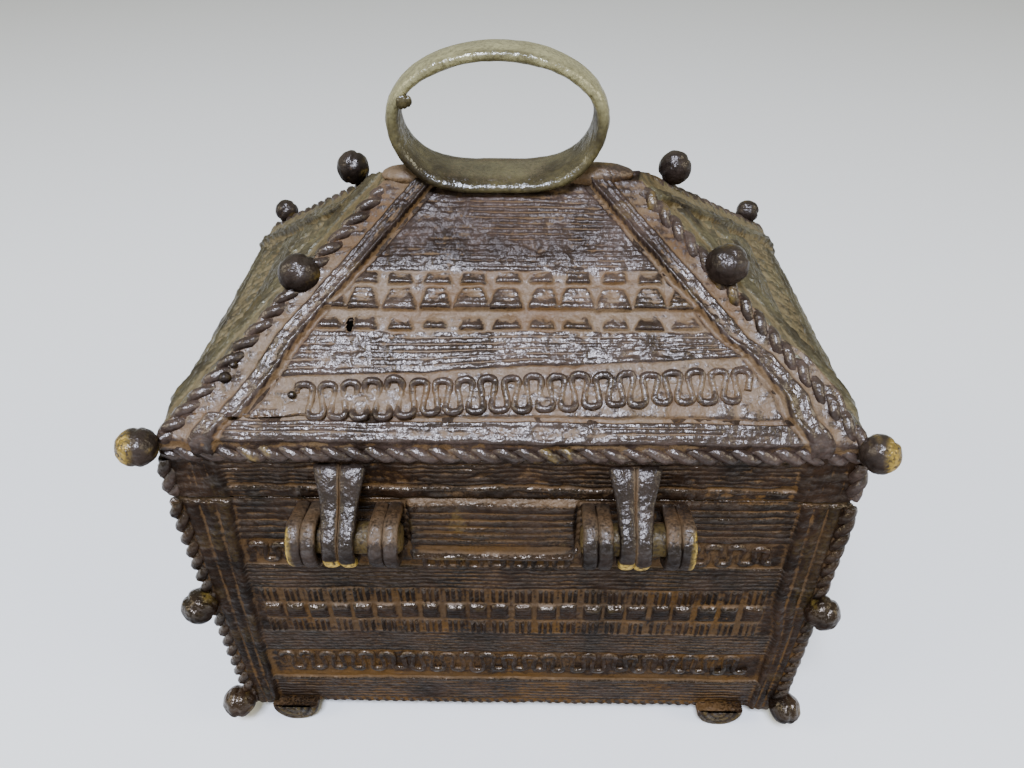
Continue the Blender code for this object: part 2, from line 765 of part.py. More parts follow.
def body_piece():
    body = box_shell()
    boolean(body, box_ornament(), "UNION")
    for sign_x, sign_y in corner_signs():
        boolean(body, corner_strip(sign_x, sign_y), "UNION")
    for sign_x, sign_y in corner_signs():
        out_x = sign_x * (HALF_X + ROPE_STAND)
        out_y = sign_y * (HALF_Y + ROPE_STAND)
        foot = Vector((out_x, out_y, WALL_FOOT_Z + STRIP_EDGE))
        rise = Vector((0, 0, BOX_HEIGHT - 2 * STRIP_EDGE))
        boolean(body, rope(foot, foot + rise, CORNER_ROPE_RADIUS), "UNION")
    boolean(body, box_balls(), "UNION")
    boolean(body, feet(), "UNION")
    boolean(body, hinge_plate(), "UNION")
    boolean(body, knuckles(), "UNION")
    slots = [(center, SLOT_WIDTH) for center in HINGE_CENTERS]
    boolean(body, rounds_on_axis(slots, KNUCKLE_RADIUS + STRAP_RELIEF), "DIFFERENCE")
    bores = [(center, hinge_length() + 4 * SINK) for center in HINGE_CENTERS]
    boolean(body, rounds_on_axis(bores, BORE_RADIUS), "DIFFERENCE")
    return body


def lid_piece():
    lid = lid_shell()
    boolean(lid, lid_ornament(), "UNION")
    for sign_x, sign_y in corner_signs():
        boolean(lid, fascia_strip(sign_x, sign_y), "UNION")
        boolean(lid, hip_strip(sign_x, sign_y), "UNION")
    for sign_x, sign_y in corner_signs():
        low, high = hip_ends(sign_x, sign_y)
        stand = Vector((0, 0, ROPE_STAND))
        top = high - (high - low).normalized() * HIP_ROPE_SHORT
        boolean(lid, rope(low + stand, top + stand, HIP_ROPE_RADIUS), "UNION")
    boolean(lid, lid_balls(), "UNION")
    boolean(lid, ring_handle(), "UNION")
    boolean(lid, straps(), "UNION")
    bores = [(center, hinge_length()) for center in HINGE_CENTERS]
    boolean(lid, rounds_on_axis(bores, BORE_RADIUS), "DIFFERENCE")
    return lid


def pin_piece(name, center):
    pin = rounds_on_axis([(center, hinge_length())], PIN_RADIUS)
    pin.name = name
    return pin


def front_reach():
    return -(HINGE_Y - KNUCKLE_RADIUS)


def back_reach():
    return HALF_Y + BOX_BALL_OUT + BOX_BALL_RADIUS


def build():
    remove_everything()
    body_brass = brass("patinated_body_brass", (0.062, 0.038, 0.021, 1.0), 0.5)
    lid_brass = brass("patinated_lid_brass", (0.085, 0.058, 0.038, 1.0), 0.42)
    pin_brass = brass("worn_pin_brass", (0.16, 0.11, 0.045, 1.0), 0.5)

    middle = new_object("casket_middle", None)
    middle.location = (0, (front_reach() - back_reach()) / 2, 0)
    hinge_axis = new_object("hinge_axis", None)
    hinge_axis.parent = middle
    hinge_axis.location = (0, HINGE_Y, HINGE_Z)

    body = body_piece()
    body.data.materials.append(body_brass)
    body.parent = middle

    lid = lid_piece()
    lid.data.materials.append(lid_brass)
    lid.parent = hinge_axis
    lid.location = (0, -HINGE_Y, -HINGE_Z)

    for name, center in zip(("hinge_pin_left", "hinge_pin_right"), HINGE_CENTERS):
        pin = pin_piece(name, center)
        pin.data.materials.append(pin_brass)
        pin.parent = middle
    bpy.context.view_layer.update()


build()
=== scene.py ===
# %% [markdown]
# # A cast brass casket, dressed over its solid model
# The real casket is lost-wax brass. Its maker rolled wax into thread, laid the threads side by side
# over a clay core, and pressed more wax on top: little blocks, bent wires, twisted ropes and balls.
# Everything was then cast in one pour, the box and its lid apart. This lesson builds each of those
# layers the way the maker did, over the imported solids.

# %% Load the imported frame
import json
import math
from functools import partial

import bmesh
import bpy
import numpy as np
from mathutils import Matrix, Vector


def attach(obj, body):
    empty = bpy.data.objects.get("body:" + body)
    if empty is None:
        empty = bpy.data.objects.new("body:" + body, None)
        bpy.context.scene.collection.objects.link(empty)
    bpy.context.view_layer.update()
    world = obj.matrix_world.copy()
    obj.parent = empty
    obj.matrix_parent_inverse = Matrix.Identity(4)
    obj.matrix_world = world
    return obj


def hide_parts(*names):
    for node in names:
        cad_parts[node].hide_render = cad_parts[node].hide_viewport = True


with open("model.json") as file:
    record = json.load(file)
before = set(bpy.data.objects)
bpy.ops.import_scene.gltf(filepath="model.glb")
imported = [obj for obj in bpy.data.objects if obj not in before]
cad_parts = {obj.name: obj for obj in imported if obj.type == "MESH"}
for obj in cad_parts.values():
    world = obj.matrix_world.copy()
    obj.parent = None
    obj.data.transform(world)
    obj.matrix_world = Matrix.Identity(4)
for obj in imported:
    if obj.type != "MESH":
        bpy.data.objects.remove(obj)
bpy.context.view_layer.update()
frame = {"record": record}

# %% [markdown]
# ## Sizes
# Lengths are in millimetres, the way a maker would read them off a rule. Only the sizes inside node
# trees, the floor, the lights and the camera are in metres, as Blender counts them. The box stands in
# the solid model's frame, so its middle is found from the hinge axis that the frame gives, and not
# written down again.

# %% Driving sizes
METRE = 1000.0
HALF_LONG = 75.0
HALF_SHORT = 48.0
WALL_FOOT = 5.0
WALL_HEIGHT = 85.0
RIM = 90.3
FASCIA = 18.0
ROOF_RISE = 39.0
WALL = 3.0
HINGE_OUT = 7.1

hinge = next(j for j in frame["record"]["behaviour"]["joints"] if j["name"] == "lid_hinge")
HINGE_Y = hinge["pos_m"][1] * METRE
HINGE_Z = hinge["pos_m"][2] * METRE
MIDDLE_Y = HINGE_Y + HINGE_OUT + HALF_SHORT
EAVE = RIM + FASCIA
ROOF_ANGLE = math.atan2(ROOF_RISE, HALF_SHORT)
ROOF_ANGLE_FROM_UPRIGHT = math.pi / 2 - ROOF_ANGLE
SLOPE = math.hypot(ROOF_RISE, HALF_SHORT)
WALL_TOP = WALL_FOOT + WALL_HEIGHT
RING_HALF_X, RING_HALF_Z, RING_THICK = 24.3, 15.25, 3.2
RING_SUNK = 3.0
RING_X, RING_Z = -3.2, EAVE + ROOF_RISE - RING_SUNK + RING_HALF_Z
print(f"box middle at y {MIDDLE_Y:.2f} mm, eave at z {EAVE:.1f} mm, slope {SLOPE:.1f} mm long")

# %% [markdown]
# ## Four small helpers
# Every piece is made in millimetres in the box's own frame and shifted once, when its mesh is written,
# so each object stays at the origin with its place in its mesh. Soft noise stands for a hand's
# unevenness: a table of random heights, drawn once from a fixed seed and read smoothly in between.

# %% Mesh and noise helpers
def place(points):
    """Millimetres about the box's middle become metres in the frame."""
    moved = np.asarray(points, float) + (0.0, MIDDLE_Y, 0.0)
    return moved / METRE


def make_piece(name, points, faces, material, marks=None, smooth=True):
    """One mesh piece, with a number for each point under each name in marks."""
    mesh = bpy.data.meshes.new(name)
    mesh.from_pydata(place(points).tolist(), [], faces)
    for label, values in (marks or {}).items():
        layer = mesh.attributes.new(label, "FLOAT", "POINT")
        layer.data.foreach_set("value", np.asarray(values, np.float32))
    mesh.polygons.foreach_set("use_smooth", [smooth] * len(mesh.polygons))
    mesh.materials.append(material)
    mesh.validate()
    piece = bpy.data.objects.new(name, mesh)
    bpy.context.scene.collection.objects.link(piece)
    return piece


def hand(u, v, grain, seed):
    """Soft unevenness between -1 and 1, with swells about one grain wide."""
    table = np.random.default_rng(seed).uniform(-1.0, 1.0, (61, 61))
    a, b = np.broadcast_arrays(np.asarray(u, float) / grain + 300.0, np.asarray(v, float) / grain + 300.0)
    i, j = np.floor(a).astype(int), np.floor(b).astype(int)
    s, t = a - i, b - j
    s, t = s * s * (3 - 2 * s), t * t * (3 - 2 * t)
    low = table[i % 61, j % 61] * (1 - s) + table[(i + 1) % 61, j % 61] * s
    high = table[i % 61, (j + 1) % 61] * (1 - s) + table[(i + 1) % 61, (j + 1) % 61] * s
    return low * (1 - t) + high * t


def ease(x, start, end):
    """0 before start, 1 after end, and a smooth step between."""
    share = np.clip((np.asarray(x, float) - start) / (end - start), 0.0, 1.0)
    return share * share * (3 - 2 * share)


# %% [markdown]
# ## Colours and finishes
# The metal is old brass. Handling and oil gave it a dark brown skin, a hard patina with a soft gloss
# that throws back bluish daylight. The clay it was cast in still lies in the hollows: pale and pinkish
# on the roof, ochre on the box. Where fingers and tables rub, the brown is gone and yellow metal shows.
# A finish could be painted on, but then it would not know the relief. Here each point of a mesh carries
# three marks instead: how deep it lies, how worn it is and how much it reflects. The last stands partly
# for rubbing to a polish and partly for painted shade: it is low on what faces down and near the ridge.
# The finish reads them, so it follows the real relief and not the camera.

# %% Colour and node helpers
def colour(code):
    """An sRGB hex colour as the linear values that a shader works in."""
    channels = [int(code[i:i + 2], 16) / 255 for i in (1, 3, 5)]
    linear = [c / 12.92 if c <= 0.04045 else ((c + 0.055) / 1.055) ** 2.4 for c in channels]
    return (*linear, 1.0)


def add_node(tree, kind, *inputs, out=0, **settings):
    """Add one node with its settings, give its inputs values or links, and return one of its outputs.

    The inputs come in the node's own order, or in one dict, by name or number.
    """
    made = tree.nodes.new(kind)
    for key, value in settings.items():
        setattr(made, key, value)
    given = inputs[0] if inputs and isinstance(inputs[0], dict) else dict(enumerate(inputs))
    for key, value in given.items():
        if isinstance(value, bpy.types.NodeSocket):
            tree.links.new(value, made.inputs[key])
        else:
            made.inputs[key].default_value = value
    return made.outputs[out]


def speckle(tree, where, grain_mm, detail, low, high):
    """Noise of a real size, stretched so that low becomes 0 and high becomes 1."""
    sizes = {"Vector": where, "Scale": METRE / grain_mm, "Detail": detail}
    grains = add_node(tree, "ShaderNodeTexNoise", sizes, out="Fac")
    limits = {"Value": grains, "From Min": low, "From Max": high}
    return add_node(tree, "ShaderNodeMapRange", limits, clamp=True)


# %% Patinated brass
# Undersides keep only this much shine: partly because no hand polishes them, and partly as painted shade.
DULL = 0.03
# The last colour is painted shade: the black inside deep pits.
STAIN, GRIT_BROWN, PAINTED_HOLE_SHADE = "#120c09", "#4c3825", "#060504"


def patinated_brass(name, skin, sheen, clay, earth, earth_depth, gloss, clay_amount, shine, tint="#ffffff",
                    bare_brass_and_sheen="#b89a4a", bare_metal=0.9, fleck_start=0.34):
    """Cast brass with a brown patina, clay in its hollows and bare metal where it is worn."""
    material = bpy.data.materials.new(name)
    material.use_nodes = True
    tree = material.node_tree
    shader = tree.nodes["Principled BSDF"]
    add = partial(add_node, tree)
    where = add("ShaderNodeTexCoord", out="Object")
    hollow = add("ShaderNodeAttribute", out="Fac", attribute_name="hollow")
    worn = add("ShaderNodeAttribute", out="Fac", attribute_name="worn")
    polish_and_shade = add("ShaderNodeAttribute", out="Fac", attribute_name="polish_and_shade")

    # The skin: two browns in cloudy patches about 9 mm across, and finer mottling within them.
    patches = speckle(tree, where, 9.0, 5.0, 0.36, 0.66)
    mottle = speckle(tree, where, 1.1, 3.0, 0.35, 0.7)
    stain = add("ShaderNodeMath", mottle, 0.55, operation="MULTIPLY")
    brown = add("ShaderNodeMix", {0: patches, 6: colour(skin), 7: colour(sheen)}, out=2, data_type="RGBA")
    brown = add("ShaderNodeMix", {0: stain, 6: brown, 7: colour(STAIN)}, out=2, data_type="RGBA")

    # Clay lies where the mark says hollow, broken up by grit half a millimetre across, in drifts of 16 mm.
    grit = speckle(tree, where, 0.55, 4.0, 0.3, 0.72)
    lying = add("ShaderNodeMath", grit, 0.5, hollow, operation="MULTIPLY_ADD")
    drifts = speckle(tree, where, 16.0, 2.0, 0.3, 0.66)
    drifts = add("ShaderNodeMath", drifts, 0.5, 0.62, operation="MULTIPLY_ADD")
    lying = add("ShaderNodeMath", lying, drifts, operation="MULTIPLY")
    limits = {"Value": lying, "From Min": 0.55, "From Max": 1.05, "To Max": clay_amount}
    clay_share = add("ShaderNodeMapRange", limits, interpolation_type="SMOOTHSTEP")

    # Low down, and in patches everywhere, the clay turns to ochre earth.
    height = add("ShaderNodeSeparateXYZ", where, out="Z")
    low_down = add("ShaderNodeMapRange", {"Value": height, "From Min": earth_depth / METRE, "From Max": 0.0})
    earthy = speckle(tree, where, 13.0, 3.0, 0.42, 0.68)
    earth_share = add("ShaderNodeMath", low_down, 0.75, earthy, operation="MULTIPLY_ADD", use_clamp=True)
    grit_share = add("ShaderNodeMath", grit, 0.5, operation="MULTIPLY")
    dust = add("ShaderNodeMix", {0: earth_share, 6: colour(clay), 7: colour(earth)}, out=2, data_type="RGBA")
    dust = add("ShaderNodeMix", {0: grit_share, 6: dust, 7: colour(GRIT_BROWN)}, out=2, data_type="RGBA")
    surface = add("ShaderNodeMix", {0: clay_share, 6: brown, 7: dust}, out=2, data_type="RGBA")

    # Deep pits, such as the casting hole, are painted black as the shade inside them. Worn places are
    # yellow brass, with dark flecks left in them.
    pit = add("ShaderNodeMapRange", {"Value": hollow, "From Min": 1.6, "From Max": 2.0})
    surface = add("ShaderNodeMix", {0: pit, 6: surface, 7: colour(PAINTED_HOLE_SHADE)}, out=2, data_type="RGBA")
    flecks = speckle(tree, where, 0.8, 4.0, fleck_start, 0.56)
    bare_and_sheen = add("ShaderNodeMath", worn, flecks, operation="MULTIPLY", use_clamp=True)
    surface = add("ShaderNodeMix", {0: bare_and_sheen, 6: surface, 7: colour(bare_brass_and_sheen)}, out=2, data_type="RGBA")
    metal = add("ShaderNodeMath", bare_and_sheen, bare_metal, operation="MULTIPLY")

    # The skin is rougher where it mottles and where clay lies, and smoother where the polish-and-shade mark
    # is high.
    rough = add("ShaderNodeMath", mottle, 0.1, gloss + 0.12, operation="MULTIPLY_ADD")
    rough = add("ShaderNodeMath", clay_share, 0.42, rough, operation="MULTIPLY_ADD")
    rough = add("ShaderNodeMath", polish_and_shade, -0.12, rough, operation="MULTIPLY_ADD", use_clamp=True)

    # What faces up reflects, partly because it was rubbed; undersides hardly reflect, as painted shade, nor
    # do pits.
    rubbed = add("ShaderNodeMath", polish_and_shade, shine - DULL, DULL, operation="MULTIPLY_ADD", use_clamp=True)
    open_share = add("ShaderNodeMath", 1.0, pit, operation="SUBTRACT")
    rubbed = add("ShaderNodeMath", rubbed, open_share, operation="MULTIPLY")

    # The cast skin is never smooth: it has pores, drawn about a millimetre wide so that they show, and
    # gentle dents of about three.
    pores = add("ShaderNodeTexNoise", {"Vector": where, "Scale": METRE / 1.1, "Detail": 2.5}, out="Fac")
    dents = add("ShaderNodeTexNoise", {"Vector": where, "Scale": METRE / 3.0, "Detail": 1.0}, out="Fac")
    mixed = add("ShaderNodeMath", dents, 1.5, pores, operation="MULTIPLY_ADD")
    bump = add("ShaderNodeBump", {"Strength": 0.6, "Distance": 0.0006, "Height": mixed}, out="Normal")

    for label, socket in (("Base Color", surface), ("Roughness", rough), ("Metallic", metal),
                          ("Specular IOR Level", rubbed), ("Normal", bump)):
        tree.links.new(socket, shader.inputs[label])
    shader.inputs["Specular Tint"].default_value = colour(tint)
    print("finish made:", name)
    return material


# %% The seven finishes
BROWN_GLOSS, WARM_GLOSS, OLIVE_GLOSS = "#dccbb8", "#efe5df", "#f2efd8"
# The box is the darkest: near black with a hard gloss, so its ornament shows by glints and ochre earth.
box_brass = patinated_brass("cast_brass_dark_box", "#160f0a", "#302116", "#594632", "#654824",
                            45.0, 0.22, 0.72, 0.95, BROWN_GLOSS)
# The roof is warmer and lighter: pinkish clay between its threads lets each one be counted.
roof_brass = patinated_brass("cast_brass_clay_roof", "#261c16", "#4a3c35", "#7a6347", "#6b4d2a",
                             20.0, 0.26, 0.75, 1.0, WARM_GLOSS)
# The lid's short sides have an olive, duller skin than the front, which sets them back from it.
side_brass = patinated_brass("cast_brass_olive_side", "#2f281e", "#575039", "#7c6e4e", "#6b5a38",
                             20.0, 0.34, 0.65, 0.75, OLIVE_GLOSS)
# Hinge wires and balls are smooth and brown, with a soft highlight that makes them look round.
hinge_brass = patinated_brass("cast_brass_hinge", "#1a1410", "#362c26", "#66543f", "#6b4c28",
                              20.0, 0.27, 0.75, 0.62, WARM_GLOSS)
# The ring is greenish and bare where hands hold it, with few flecks left: the brightest part. Its pale
# bare brass, with little metal in it, is partly a painted reflection of the light above.
ring_brass = patinated_brass("cast_brass_olive_ring", "#2a2316", "#5a5236", "#5a4f36", "#5c4728",
                             20.0, 0.2, 0.6, 0.9, bare_brass_and_sheen="#b9b285", bare_metal=0.4, fleck_start=0.1)
# The inside was never rubbed: a dull, dusty brown that stays quiet when the lid is open.
inside_brass = patinated_brass("cast_brass_inside", "#241a12", "#382a1f", "#5b4936", "#604424",
                               60.0, 0.42, 0.8, 0.2, BROWN_GLOSS)
# The pins are rough rods with clay all over, flat and pale between the glossy wires.
pin_brass = patinated_brass("rough_cast_pin", "#261d14", "#3c3020", "#594930", "#604624",
                            60.0, 0.4, 0.7, 0.3)
# %% [markdown]
# ## The walls and the roof as panels
# Each face is a sheet of wax threads with ornament on top. It could be a flat plate with a bump map,
# but the threads catch light along their crests and the blocks cast real shadows, so the relief is real
# here: a grid whose rows are placed on the crests and grooves of every thread. A panel is closed
# behind, so that it is a solid slab of metal. Its rows are written as bands from bottom to top, each
# with a name that says what lies there. A panel's foot may have a finish of its own, as the lid's dark
# fascia has under its pale roof.

# %% Rows of a panel
THREAD_SHARES = ((0.0, 0.0), (0.13, 0.66), (0.36, 0.96), (0.64, 0.96), (0.87, 0.66))
PLAIN_STEP = 0.36


def rows_of(bands):
    """Height, relief and band name of each row, from (start, end, name, thread pitch, thread rise)."""
    rows = []
    for start, end, label, pitch, rise in bands:
        if pitch:
            count = max(1, round((end - start) / pitch))
            step = (end - start) / count
            for i in range(count):
                rows += [(start + (i + s) * step, rise * h, label) for s, h in THREAD_SHARES]
        else:
            count = max(1, math.ceil((end - start) / PLAIN_STEP))
            rows += [(start + (end - start) * (i + 0.001) / count, 0.0, label) for i in range(count)]
    rows.append((bands[-1][1], 0.0, bands[-1][2]))
    heights = np.array([r[0] for r in rows])
    relief = np.array([r[1] for r in rows])
    return heights, relief, np.array([r[2] for r in rows])


def hollows(relief, spread):
    """How far each point lies below the mean of its neighbours, in millimetres. A crest gets less than 0."""
    soft = relief.copy()
    for axis, reach in ((0, spread[0]), (1, spread[1])):
        summed = np.zeros_like(soft)
        for shift in range(-reach, reach + 1):
            shifted = np.clip(np.arange(soft.shape[axis]) + shift, 0, soft.shape[axis] - 1)
            summed += np.take(soft, shifted, axis=axis)
        soft = summed / (2 * reach + 1)
    return soft - relief


PANEL_THICK = 1.2


def build_panel(name, across, up, relief, surface_point, material, worn, extra_hollow=0.0, low_finish=None,
                shade_dimmed_gloss=1.0):
    """A closed slab behind its relief. low_finish is (number of rows, material) for its foot."""
    rows, columns = relief.shape
    base, outward = surface_point(across, up)
    front = base + outward * relief[..., None]
    near = hollows(relief, (3, 2))
    wide = hollows(relief, (9, 5))
    hollow = np.clip(near * 2.2 + wide * 0.9 + 0.32, 0.0, 1.0) + extra_hollow
    back_left = (base - outward * PANEL_THICK)[:, 0]
    back_right = (base - outward * PANEL_THICK)[:, -1]
    points = np.concatenate([front.reshape(-1, 3), back_left, back_right])
    grid = np.arange(rows * columns).reshape(rows, columns)
    left = rows * columns + np.arange(rows)
    right = left + rows
    quads = np.stack([grid[:-1, :-1], grid[:-1, 1:], grid[1:, 1:], grid[1:, :-1]], -1)
    quads = quads.reshape(-1, 4).tolist()
    for i in range(rows - 1):
        quads.append([left[i], grid[i, 0], grid[i + 1, 0], left[i + 1]])
        quads.append([grid[i, -1], right[i], right[i + 1], grid[i + 1, -1]])
        quads.append([right[i], left[i], left[i + 1], right[i + 1]])
    quads.append([*reversed(grid[0].tolist()), left[0], right[0]])
    quads.append([*grid[-1].tolist(), right[-1], left[-1]])
    faces = [[int(k) for k in quad] for quad in quads]
    marks = {
        "hollow": np.concatenate([hollow.ravel(), np.ones(2 * rows) * 0.5]),
        "worn": np.concatenate([np.broadcast_to(worn, relief.shape).ravel(), np.zeros(2 * rows)]),
        "polish_and_shade": np.concatenate([np.broadcast_to(shade_dimmed_gloss, relief.shape).ravel(), np.zeros(2 * rows)]),
    }
    piece = make_piece(name, points, faces, material, marks)
    if low_finish:
        piece.data.materials.append(low_finish[1])
        low = [int(i < low_finish[0] * (columns - 1)) for i in range(len(piece.data.polygons))]
        piece.data.polygons.foreach_set("material_index", low)
    triangles = sum(len(face) - 2 for face in faces)
    print(f"{name}: {rows} rows by {columns} columns, {triangles} triangles")
    return piece


# %% [markdown]
# ### Blocks, ticks and strips
# The basket bands were made by pressing short bundles of thread side by side. A block here is a pillow
# with a soft edge, ripples from its threads, and its own small errors of place, width and height, drawn
# from a fixed seed.

# %% Ornament as relief
def pillow(distance_x, distance_y, half_x, half_y, edge):
    """A flat-topped pillow with soft edges: 1 in the middle, 0 outside."""
    inside_x = ease(half_x - np.abs(distance_x), 0.0, edge)
    inside_y = ease(half_y - np.abs(distance_y), 0.0, edge)
    return inside_x * inside_y


def block_row(x, y, centers, low, high, width, flare, rise, ripple, seed, lip=0.0):
    """A row of blocks. flare widens each one downwards; lip makes its lower or upper edge thick."""
    rng = np.random.default_rng(seed)
    relief = np.zeros(np.broadcast(x, y).shape)
    for center in centers:
        shift, grow, lift, tilt = rng.uniform(-1, 1, 4)
        middle = (low + high) / 2 + 0.25 * tilt
        down = np.clip((high - y) / (high - low), 0.0, 1.0)
        half = (width / 2) * (1 + 0.09 * grow) * (1 - flare + flare * np.sqrt(down))
        body = pillow(x - center - 0.35 * shift, y - middle, half, (high - low) / 2, 0.9)
        threads = 1 + ripple * np.sin(2 * math.pi * (y - low) / 1.15) * body
        toward = down if lip > 0 else 1 - down
        wedge = 1 - abs(lip) + 2 * abs(lip) * toward ** 2
        relief = np.maximum(relief, body * rise * (1 + 0.22 * lift) * threads * wedge)
    return relief


def tick_row(x, y, centers, low, high, group, rise, seed):
    """Groups of short upright threads, one group over each block."""
    rng = np.random.default_rng(seed)
    relief = np.zeros(np.broadcast(x, y).shape)
    for center in centers:
        shift, lift = rng.uniform(-1, 1, 2)
        body = pillow(x - center - 0.3 * shift, y - (low + high) / 2, group / 2, (high - low) / 2, 0.6)
        ribs = np.clip(0.45 + 0.75 * np.cos(2 * math.pi * (x - center) / 1.5), 0, 1)
        relief = np.maximum(relief, body * ribs * rise * (1 + 0.3 * lift))
    return relief


def meander(x, y, middle, swing, pitch, rise):
    """A wire bent up and down as relief, for the sides that lie out of sight."""
    phase = 2 * math.pi * x / pitch
    wave = middle + swing * np.tanh(1.6 * np.sin(phase))
    slope = swing * 1.6 * (2 * math.pi / pitch) * np.cos(phase) / np.cosh(1.6 * np.sin(phase)) ** 2
    gap = (y - wave) / np.sqrt(1 + slope ** 2)
    return rise * np.exp(-(gap / 0.8) ** 2) * (np.abs(y - middle) < swing + 1.6)


def strip_relief(distance, width, count, rise):
    """Parallel threads along an edge: distance is measured from that edge, inwards."""
    inside = ease(width - distance, 0.0, 0.8)
    share = np.clip(distance / width, 0.0, 0.999) * count
    ribs = np.sqrt(np.clip(1 - (2 * (share % 1.0) - 1) ** 2, 0.0, 1.0))
    return inside * (rise + 0.55 * ribs), inside


# %% [markdown]
# ### The four walls
# The front is the richest: two scroll bands with a basket band between them, and a thick plate of
# threads that ties the two inner knuckles together. The hidden walls carry the same bands and no plate,
# and their bent wires are low relief in the panel, which is enough where nobody looks closely. The
# threads wander by a fraction of a millimetre, because a hand laid them.

# %% Wall bands and the wall panel
WALL_BANDS = (
    (0.0, 2.0, "foot", 0.0, 0.0),
    (2.0, 12.6, "threads", 1.5, 0.22),
    (12.6, 13.6, "ridge", 0.0, 0.0),
    (13.6, 16.2, "groove", 0.0, 0.0),
    (16.2, 27.0, "scroll", 0.0, 0.0),
    (27.0, 36.0, "threads", 1.3, 0.26),
    (36.0, 41.6, "low_ticks", 0.0, 0.0),
    (41.6, 48.4, "blocks", 0.0, 0.0),
    (48.4, 54.2, "high_ticks", 0.0, 0.0),
    (54.2, 62.6, "threads", 1.3, 0.26),
    (62.6, 71.6, "scroll", 0.0, 0.0),
    (71.6, 84.2, "threads", 2.0, 0.45),
    (84.2, 85.0, "rim", 0.0, 0.0),
)
BLOCK_PITCH = 5.8
PLATE_LEFT, PLATE_RIGHT = -23.4, 15.0
PLATE_LOW = 66.6
LOW_SCROLL, HIGH_SCROLL, PLATE_SCROLL = 21.8, 67.2, 65.4
WALL_BULGE = 1.2
HINGE_MIDDLES = (-36.3, 28.0)


def strip_width(height, left):
    """Width of a wall's corner strips: wide at the top, narrow at the foot. The right one has a kink."""
    if left:
        return 7.4 + 4.8 * (height / WALL_HEIGHT) ** 1.2
    return 7.0 + 2.4 * ease(height, 36.0, 52.0) + 0.9 * height / WALL_HEIGHT


def wall_surface(side_turn, distance):
    """Places and outward directions on a wall, for points along and up it."""
    def at(along, up):
        out = distance + WALL_BULGE * np.sin(math.pi * np.clip(up, 0, WALL_HEIGHT) / WALL_HEIGHT)
        local = np.stack([along, -out * np.ones_like(along), WALL_FOOT + up * np.ones_like(along)], -1)
        outward = np.zeros_like(local)
        outward[..., 1] = -1.0
        return turned(local, side_turn), turned(outward, side_turn)
    return at


def turned(points, quarter_turns):
    """Turn points about the box's middle by quarter turns, seen from above."""
    x, y, z = points[..., 0], points[..., 1], points[..., 2]
    for _ in range(quarter_turns):
        x, y = -y, x
    return np.stack([x, y, z], -1)


def wall_panel(name, side_turn, half, distance, columns, seed):
    """One wall. side_turn counts the quarter turns from the front."""
    front = side_turn == 0
    heights, thread, label = rows_of(WALL_BANDS)
    x = np.linspace(-half, half, columns)[None, :] * np.ones((len(heights), 1))
    y = heights[:, None] * np.ones((1, columns))
    wander = 0.3 * hand(x, y, 17.0, seed) + 0.12 * hand(x, y, 4.0, seed + 1)
    relief = thread[:, None] * (0.8 + 0.6 * hand(x / 2, y, 5.0, seed + 2))
    centers = np.arange(-11.5, 12.0) * BLOCK_PITCH
    centers = centers[np.abs(centers) < half - 11.5]
    relief = relief + block_row(x, y, centers, 41.8, 48.3, 5.5, 0.1, 1.1, 0.1, seed + 3, lip=-0.5)
    relief = relief + tick_row(x, y, centers, 36.2, 41.4, 5.2, 0.85, seed + 4)
    relief = relief + tick_row(x, y, centers, 48.8, 54.0, 5.2, 0.8, seed + 5)
    knobs = ease(np.sin(2 * math.pi * x / 2.5 + y), -0.6, 0.5)
    relief = relief + 0.75 * (label == "ridge")[:, None] + 0.35 * (label == "foot")[:, None] * knobs
    relief = relief - 0.2 * ((label == "groove") | (label == "scroll"))[:, None]
    extra = (0.45 * (label == "groove") + 0.28 * (label == "scroll"))[:, None] * np.ones_like(x)
    if not front:
        relief = relief + meander(x, y, LOW_SCROLL, 3.3, 5.4, 0.9)
        relief = relief + meander(x, y, HIGH_SCROLL, 2.8, 5.4, 0.9)
        extra = extra * 0.5
    if front:
        over_plate = ease(x, PLATE_LEFT - 0.5, PLATE_LEFT + 0.5)
        over_plate = over_plate * (1 - ease(x, PLATE_RIGHT - 0.5, PLATE_RIGHT + 0.5))
        over_plate = over_plate * ease(y, PLATE_LOW, PLATE_LOW + 0.3)
        lip = np.exp(-(((y - PLATE_LOW - 1.2) / 0.9) ** 2))
        relief = relief + over_plate * (1.5 + 1.1 * lip)
        extra = extra * (1 - over_plate) + over_plate * (0.22 + 0.4 * (1 - lip) * ((y % 2.0) < 0.6))
        # The front wall gets more clay along its lowest 12 mm, so it is paler towards the bottom.
        extra = extra + 0.18 * (1 - ease(y, 11.0, 13.0))
    for side, sign in ((True, -1.0), (False, 1.0)):
        distance_in = half - sign * x
        raised, inside = strip_relief(distance_in - 1.0, strip_width(y, side) - 1.0, 3, 0.9)
        relief = relief * (1 - inside) + raised
        past = distance_in - strip_width(y, side)
        extra = extra * (1 - inside) - 0.4 * ease(past, -1.0, -0.4) * (1 - ease(past, 1.6, 3.2))
    relief = relief + 0.07 * hand(x, y, 1.3, seed + 6) + 0.12 * hand(x, y, 3.5, seed + 7)
    relief = relief + 0.08 * hand(x / 5, y, 0.9, seed + 9)
    if front:  # The straps' curls swing past here, so the relief stays low.
        for hinge_middle in HINGE_MIDDLES:
            near = np.abs(x - hinge_middle) < 5.5
            relief = np.where(near, np.minimum(relief, -0.15 + 0.1 * (WALL_FOOT + y - HINGE_Z) ** 2), relief)
    relief[-1] = relief[-2] = 0.0
    edge = ease(y, 0.0, 2.0) * ease(WALL_HEIGHT - y, 0.0, 2.0)
    up = y + wander * edge
    up[-1] = WALL_HEIGHT - 0.05
    crest = np.clip(relief - 1.1, 0, 1) * (hand(x, y, 6.0, seed + 8) > 0.2)
    surface = wall_surface(side_turn, distance)
    return build_panel(name, x, up, relief, surface, box_brass, crest * 0.08, extra)


